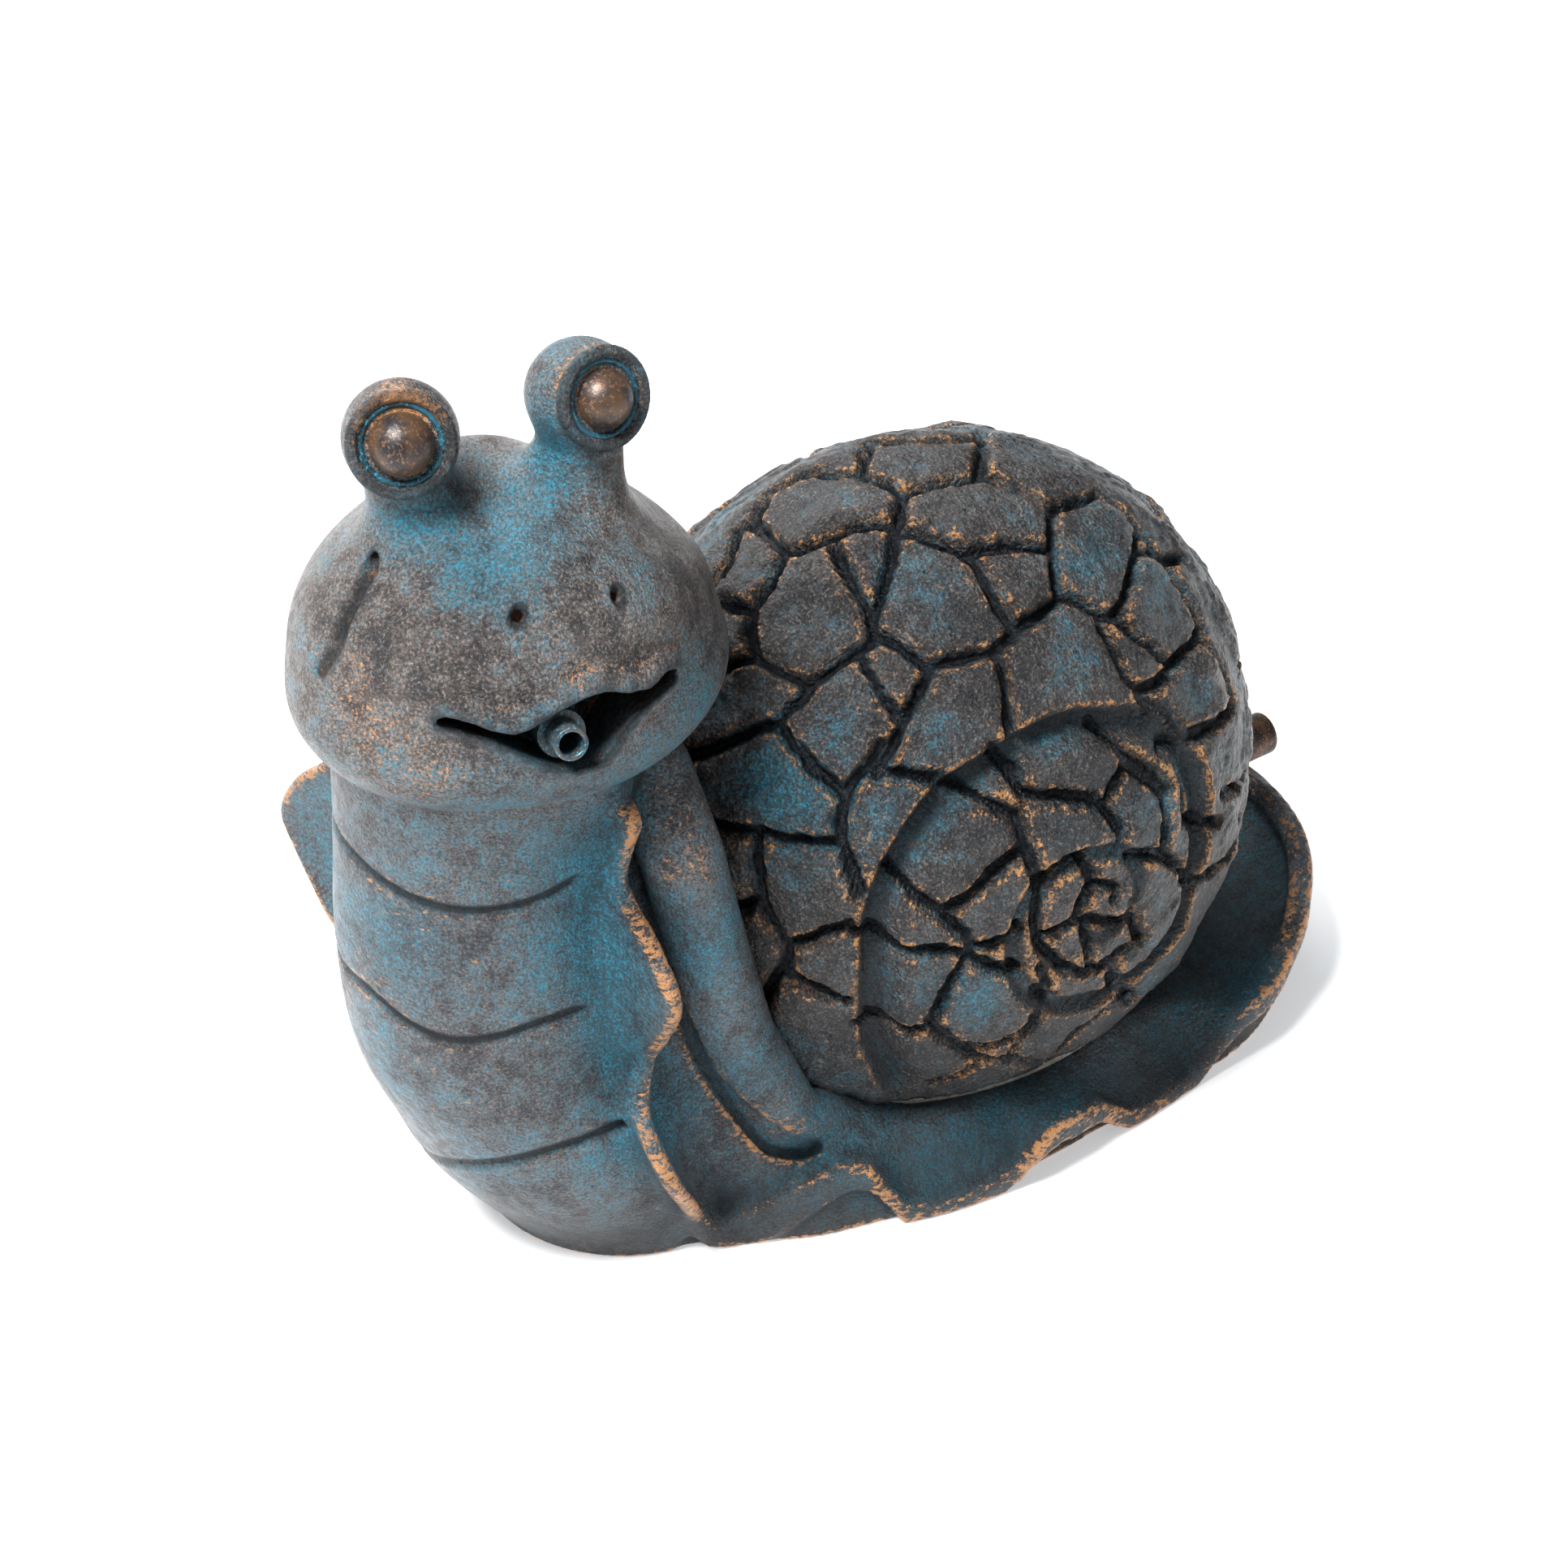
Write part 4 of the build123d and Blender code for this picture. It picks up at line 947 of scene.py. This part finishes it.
def patina(name, dark, mid, wash_tone, copper, teal_share, copper_share, edge_mm, grain_mm, painted_sheen, streak,
           tiled=False):
    """Stone-filled resin under dark stain, teal glaze and copper wax, with painted shade in small hollows,
    marked grooves and near the ground, and a painted sheen of light grey specks.
    """
    material, tree, place, shader = new_material(name)
    fine, broad = mark(tree, "fine"), mark(tree, "broad")
    clouds = speckle(tree, place, 38, 4, 0.6)
    dapple = speckle(tree, place, 8, 4, 0.7)
    drawn = add(tree, "ShaderNodeMapping", {"Vector": place, "Scale": streak}).outputs[0]
    grit = speckle(tree, place, 1.1, 3, 0.75)
    dots = speckle(tree, place, 1.2, 2, 0.7)
    dust = speckle(tree, drawn, 1.5, 4, 0.75)
    tone = total(tree, (clouds, 0.55), (dapple, 0.45))
    tint = mix(tree, ramp(tree, tone, 0.4, 0.6), colour(dark), colour(mid))
    tint = mix(tree, ramp(tree, grit, 0.53, 0.42, 0.75), tint, colour("#0e0f11"))
    # Painted sheen: light grey specks on the grit stand for glints of the lamp; the share is set per
    # casting.
    tint = mix(tree, ramp(tree, grit, 0.55, 0.68, painted_sheen), tint, colour("#b9b2ab"))
    # Painted shade: the colour darkens towards the ground, from 50 mm high down to 18 mm.
    low = ramp(tree, add(tree, "ShaderNodeSeparateXYZ", {0: place}).outputs[2], 0.05, 0.018)
    glaze = total(tree, (mark(tree, "glaze"), 0.46), (broad, -0.10), (clouds, 1.2), (dapple, 1.1))
    wash = ramp(tree, glaze, 1.3 - teal_share, 1.8 - teal_share, 0.8)
    tint = mix(tree, wash, tint, colour(wash_tone))
    glint = calc(tree, "MULTIPLY", ramp(tree, dots, 0.50, 0.60),
                 ramp(tree, glaze, 1.15 - teal_share, 1.9 - teal_share, 0.8))
    tint = mix(tree, glint, tint, colour("#2790ad"))
    # Painted shade near the ground, from the share worked out above.
    tint = mix(tree, calc(tree, "MULTIPLY", low, 0.68), tint, colour("#12181b"))
    rub = total(tree, (ramp(tree, fine, edge_mm, edge_mm * 3), 0.75), (ramp(tree, broad, 1.0, 3.5), 0.15),
                (ramp(tree, dapple, 0.5, 0.7), 0.3), (mark(tree, "wax"), 1.0), (copper_share, 1.0))
    rub = calc(tree, "SUBTRACT", rub, calc(tree, "MULTIPLY", wash, 0.25))
    limit = calc(tree, "SUBTRACT", 0.68, calc(tree, "MULTIPLY", rub, 0.24))
    worn = calc(tree, "MULTIPLY", ramp(tree, calc(tree, "SUBTRACT", dust, limit), 0.0, 0.07),
                ramp(tree, rub, 0.05, 0.25))
    relief = total(tree, (speckle(tree, place, grain_mm, 4, 0.75), 1.0),
                   (speckle(tree, place, grain_mm * 4, 3), 1.2))
    if tiled:
        gap = total(tree, (mark(tree, "gap"), 1.0), (speckle(tree, place, 2.5, 3, 0.7), 2.2))
        rim = calc(tree, "MULTIPLY", ramp(tree, gap, 3.1, 3.4), ramp(tree, gap, 4.4, 3.7))
        steps = ramp(tree, mark(tree, "step"), 0.07, 0.02)
        edge = calc(tree, "MAXIMUM", rim, calc(tree, "MULTIPLY", steps, ramp(tree, clouds, 0.45, 0.55)))
        edge = calc(tree, "MULTIPLY", edge, ramp(tree, dapple, 0.45, 0.60))
        worn = calc(tree, "MAXIMUM", worn, calc(tree, "MULTIPLY", edge, ramp(tree, dust, 0.47, 0.60)))
    tint = mix(tree, calc(tree, "MINIMUM", worn, 0.9), tint, colour(copper))
    # Painted shade: small hollows and the marked grooves, crease and nostrils darken towards near black.
    painted_recess_shade = total(tree, (ramp(tree, fine, -0.6 * edge_mm, -2.6 * edge_mm), 0.8), (mark(tree, "ink_and_shade"), 0.8))
    tint = mix(tree, calc(tree, "MINIMUM", painted_recess_shade, 0.9), tint, colour("#10151a"))
    if tiled:
        # The joints and pits are the shell's own dark colour; the band just inside the ledge is painted
        # shade.
        ink_and_shade = calc(tree, "MAXIMUM", ramp(tree, gap, 3.3, 2.3),
                   ramp(tree, mark(tree, "ledge"), 0.1, 0.9, 0.8))
        pits = calc(tree, "MULTIPLY", ramp(tree, speckle(tree, place, 2.6, 3, 0.7), 0.40, 0.34), 0.85)
        ink_and_shade = calc(tree, "MAXIMUM", ink_and_shade, pits)
        tint = mix(tree, calc(tree, "MULTIPLY", ink_and_shade, 0.96), tint, colour("#0d1116"))
        relief = total(tree, (relief, 1.0), (ramp(tree, gap, 1.0, 4.0), 1.5))
    tree.links.new(tint, shader.inputs["Base Color"])
    shine = total(tree, (ramp(tree, dapple, 0.35, 0.65), -0.12), (worn, -0.06), (0.43, 1.0))
    tree.links.new(shine, shader.inputs["Roughness"])
    metal = total(tree, (worn, 0.25), (glint, 0.25), (0.35, 1.0))
    tree.links.new(metal, shader.inputs["Metallic"])
    bump = add(tree, "ShaderNodeBump", {"Strength": 0.9, "Distance": grain_mm * MM, "Height": relief})
    tree.links.new(bump.outputs[0], shader.inputs["Normal"])
    return material


# %% Castings
# Body: slate brown stain that shows as fine mottling, teal in the folds, copper on each lip
body.data.materials.append(patina(
    "patina_body", "#2d3036", "#6a625f", "#1d5160", "#b98557",
    0.2, 0.07, 0.17, 1.3, 0.2, (0.45, 0.45, 1)))
# Head: browner and smoother, with silvery grey sheen on the cheeks, partly real gloss and partly painted
# light grey specks, and copper dust on the lids
head.data.materials.append(patina(
    "patina_head", "#2f2d2f", "#776960", "#1f5564", "#b98557",
    0.05, 0.05, 0.17, 1.2, 0.35, (1, 1, 1)))
# Shell: darker, with copper on the broken edges and near black in the joints
shell.data.materials.append(patina(
    "patina_shell", "#1d1f23", "#463f3b", "#1d4a57", "#b3814f",
    0.1, 0.0, 0.36, 2.2, 0.25, (1, 1, 1), True))


# %% [markdown]
# The eye domes and rings are drawn above. All other fittings keep their CAD shapes: the
# spout and inlet with their nuts and washers, the hose, its clips and the mortar beds.

# %% Fittings
def coated(name, dark, light, spots, size_mm, rough, metal, bump_mm):
    """A painted or metal surface with two tones, fine spots and a slight grain."""
    material, tree, place, shader = new_material(name)
    tone = mix(tree, ramp(tree, speckle(tree, place, size_mm, 4), 0.4, 0.6), colour(dark), colour(light))
    dots = ramp(tree, speckle(tree, place, 1.2, 2, 0.7), 0.56, 0.64, 0.8)
    tree.links.new(mix(tree, dots, tone, colour(spots)), shader.inputs["Base Color"])
    spread = speckle(tree, place, size_mm / 3, 3)
    rough_map = add(tree, "ShaderNodeMapRange", {0: spread, 1: 0.3, 2: 0.7, 3: rough - 0.08, 4: rough + 0.1})
    tree.links.new(rough_map.outputs[0], shader.inputs["Roughness"])
    shader.inputs["Metallic"].default_value = metal
    relief = speckle(tree, place, 1.4, 4, 0.6)
    bump = add(tree, "ShaderNodeBump", {"Strength": 0.5, "Distance": bump_mm * MM, "Height": relief})
    tree.links.new(bump.outputs[0], shader.inputs["Normal"])
    return material


# Eyes: dark domes rubbed with bronze wax, smooth enough to catch the lamp
bronze = coated("waxed_bronze_eye", "#29272a", "#54402f", "#7d5a40", 11, 0.38, 0.35, 0.3)
for dome in domes:
    dome.data.materials.append(bronze)
# Eye rings: teal glaze left thick in the narrow channel round each dome
glazed = coated("teal_glazed_ring", "#182a31", "#235060", "#2b8aa5", 5, 0.45, 0.2, 0.3)
for ring in rings:
    ring.data.materials.append(glazed)
# Spout: brass under the castings' dark stain, flecked with teal
brass = coated("coated_brass", "#2c3b44", "#4d4a4a", "#3aa0b8", 5, 0.42, 0.3, 0.25)
# Inlet pipe: brass stained dark brown by the weather
stained = coated("stained_brass", "#2c2622", "#5b4130", "#8a5f3c", 6, 0.45, 0.4, 0.2)
# Nuts inside: bare dull brass
dull = coated("dull_brass", "#8a6c33", "#a88544", "#5f4a26", 6, 0.35, 0.9, 0.1)
# Hose, seal and washers: black rubber with a bloom
rubber = coated("black_rubber", "#17181a", "#232426", "#2f3033", 12, 0.6, 0.0, 0.1)
# Mortar: grey sand and cement
mortar = coated("grey_mortar", "#6d6a64", "#8c8880", "#4c4a46", 8, 0.85, 0.0, 0.6)
# Clips: bright steel
steel = coated("clip_steel", "#8d9093", "#a9acb0", "#6b6e71", 9, 0.3, 0.95, 0.05)
finishes = {
    "spout_nozzle": brass, "spout_sleeve": brass, "spout_seal": rubber, "spout_washer": rubber,
    "spout_nut": dull, "inlet_pipe": stained, "inlet_washer": rubber, "inlet_nut": dull,
    "feed_hose": rubber, "hose_clips": steel, "shell_mortar_bed": mortar, "neck_mortar_bed": mortar,
}
for node, material in finishes.items():
    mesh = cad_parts[node].data
    mesh.materials.clear()
    mesh.materials.append(material)

# %% [markdown]
# A white studio: a sheet of white paper that glows a little, so that only the core of
# the soft shadow shows, a white room seen by the camera, one large lamp beside and above
# the camera, and a weaker one high up behind.

# %% Floor and backdrop
scene = bpy.context.scene
mesh = bpy.data.meshes.new("floor")
mesh.from_pydata([(-6, -6, 0), (6, -6, 0), (6, 6, 0), (-6, 6, 0)], [], [(0, 1, 2, 3)])
floor = bpy.data.objects.new("floor", mesh)
scene.collection.objects.link(floor)
floor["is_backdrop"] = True
material, tree, place, shader = new_material("white_paper")
shader.inputs["Base Color"].default_value = (0.9, 0.9, 0.9, 1)
shader.inputs["Roughness"].default_value = 0.9
shader.inputs["Emission Color"].default_value = (0.97, 0.98, 1, 1)
shader.inputs["Emission Strength"].default_value = 0.42
mesh.materials.append(material)
world = bpy.data.worlds.new("studio")
scene.world = world
world.use_nodes = True
tree = world.node_tree
background = tree.nodes["Background"]
background.inputs["Color"].default_value = (0.93, 0.97, 1, 1)
background.inputs["Strength"].default_value = 0.36
plain_white = add(tree, "ShaderNodeBackground", {"Color": (1, 1, 1, 1), "Strength": 1.0})
rays = add(tree, "ShaderNodeLightPath")
both = add(tree, "ShaderNodeMixShader", {0: rays.outputs["Is Camera Ray"], 1: background.outputs[0],
                                         2: plain_white.outputs[0]})
tree.links.new(both.outputs[0], tree.nodes["World Output"].inputs["Surface"])


# %% Lamps
def lamp(name, back, right, up, size, power):
    """A round soft lamp, placed from the target along the camera's own directions."""
    data = bpy.data.lights.new(name, "AREA")
    data.shape = "DISK"
    data.size = size
    data.energy = power
    item = bpy.data.objects.new(name, data)
    scene.collection.objects.link(item)
    away = back * VIEW_BACK + right * VIEW_RIGHT + up * VIEW_UP
    item.location = (VIEW_TARGET + away) * MM
    item.rotation_euler = Vector(-away).to_track_quat("-Z", "Y").to_euler()


lamp("key", 1500, -650, 950, 0.7, 78)
lamp("back", -500, -700, 1500, 1.2, 22)

# %% Camera
data = bpy.data.cameras.new("camera")
data.sensor_width = 36
data.lens = 36 * FOCUS / PICTURE
data.shift_x = -(TARGET_X - PICTURE / 2) / PICTURE
data.shift_y = (TARGET_Y - PICTURE / 2) / PICTURE
camera = bpy.data.objects.new("camera", data)
scene.collection.objects.link(camera)
camera.location = VIEW_EYE * MM
camera.rotation_euler = Vector(-VIEW_BACK).to_track_quat("-Z", "Y").to_euler()
scene.camera = camera
scene.view_settings.view_transform = "Standard"

# %% Sizes: the bounds of everything shown
low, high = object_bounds()
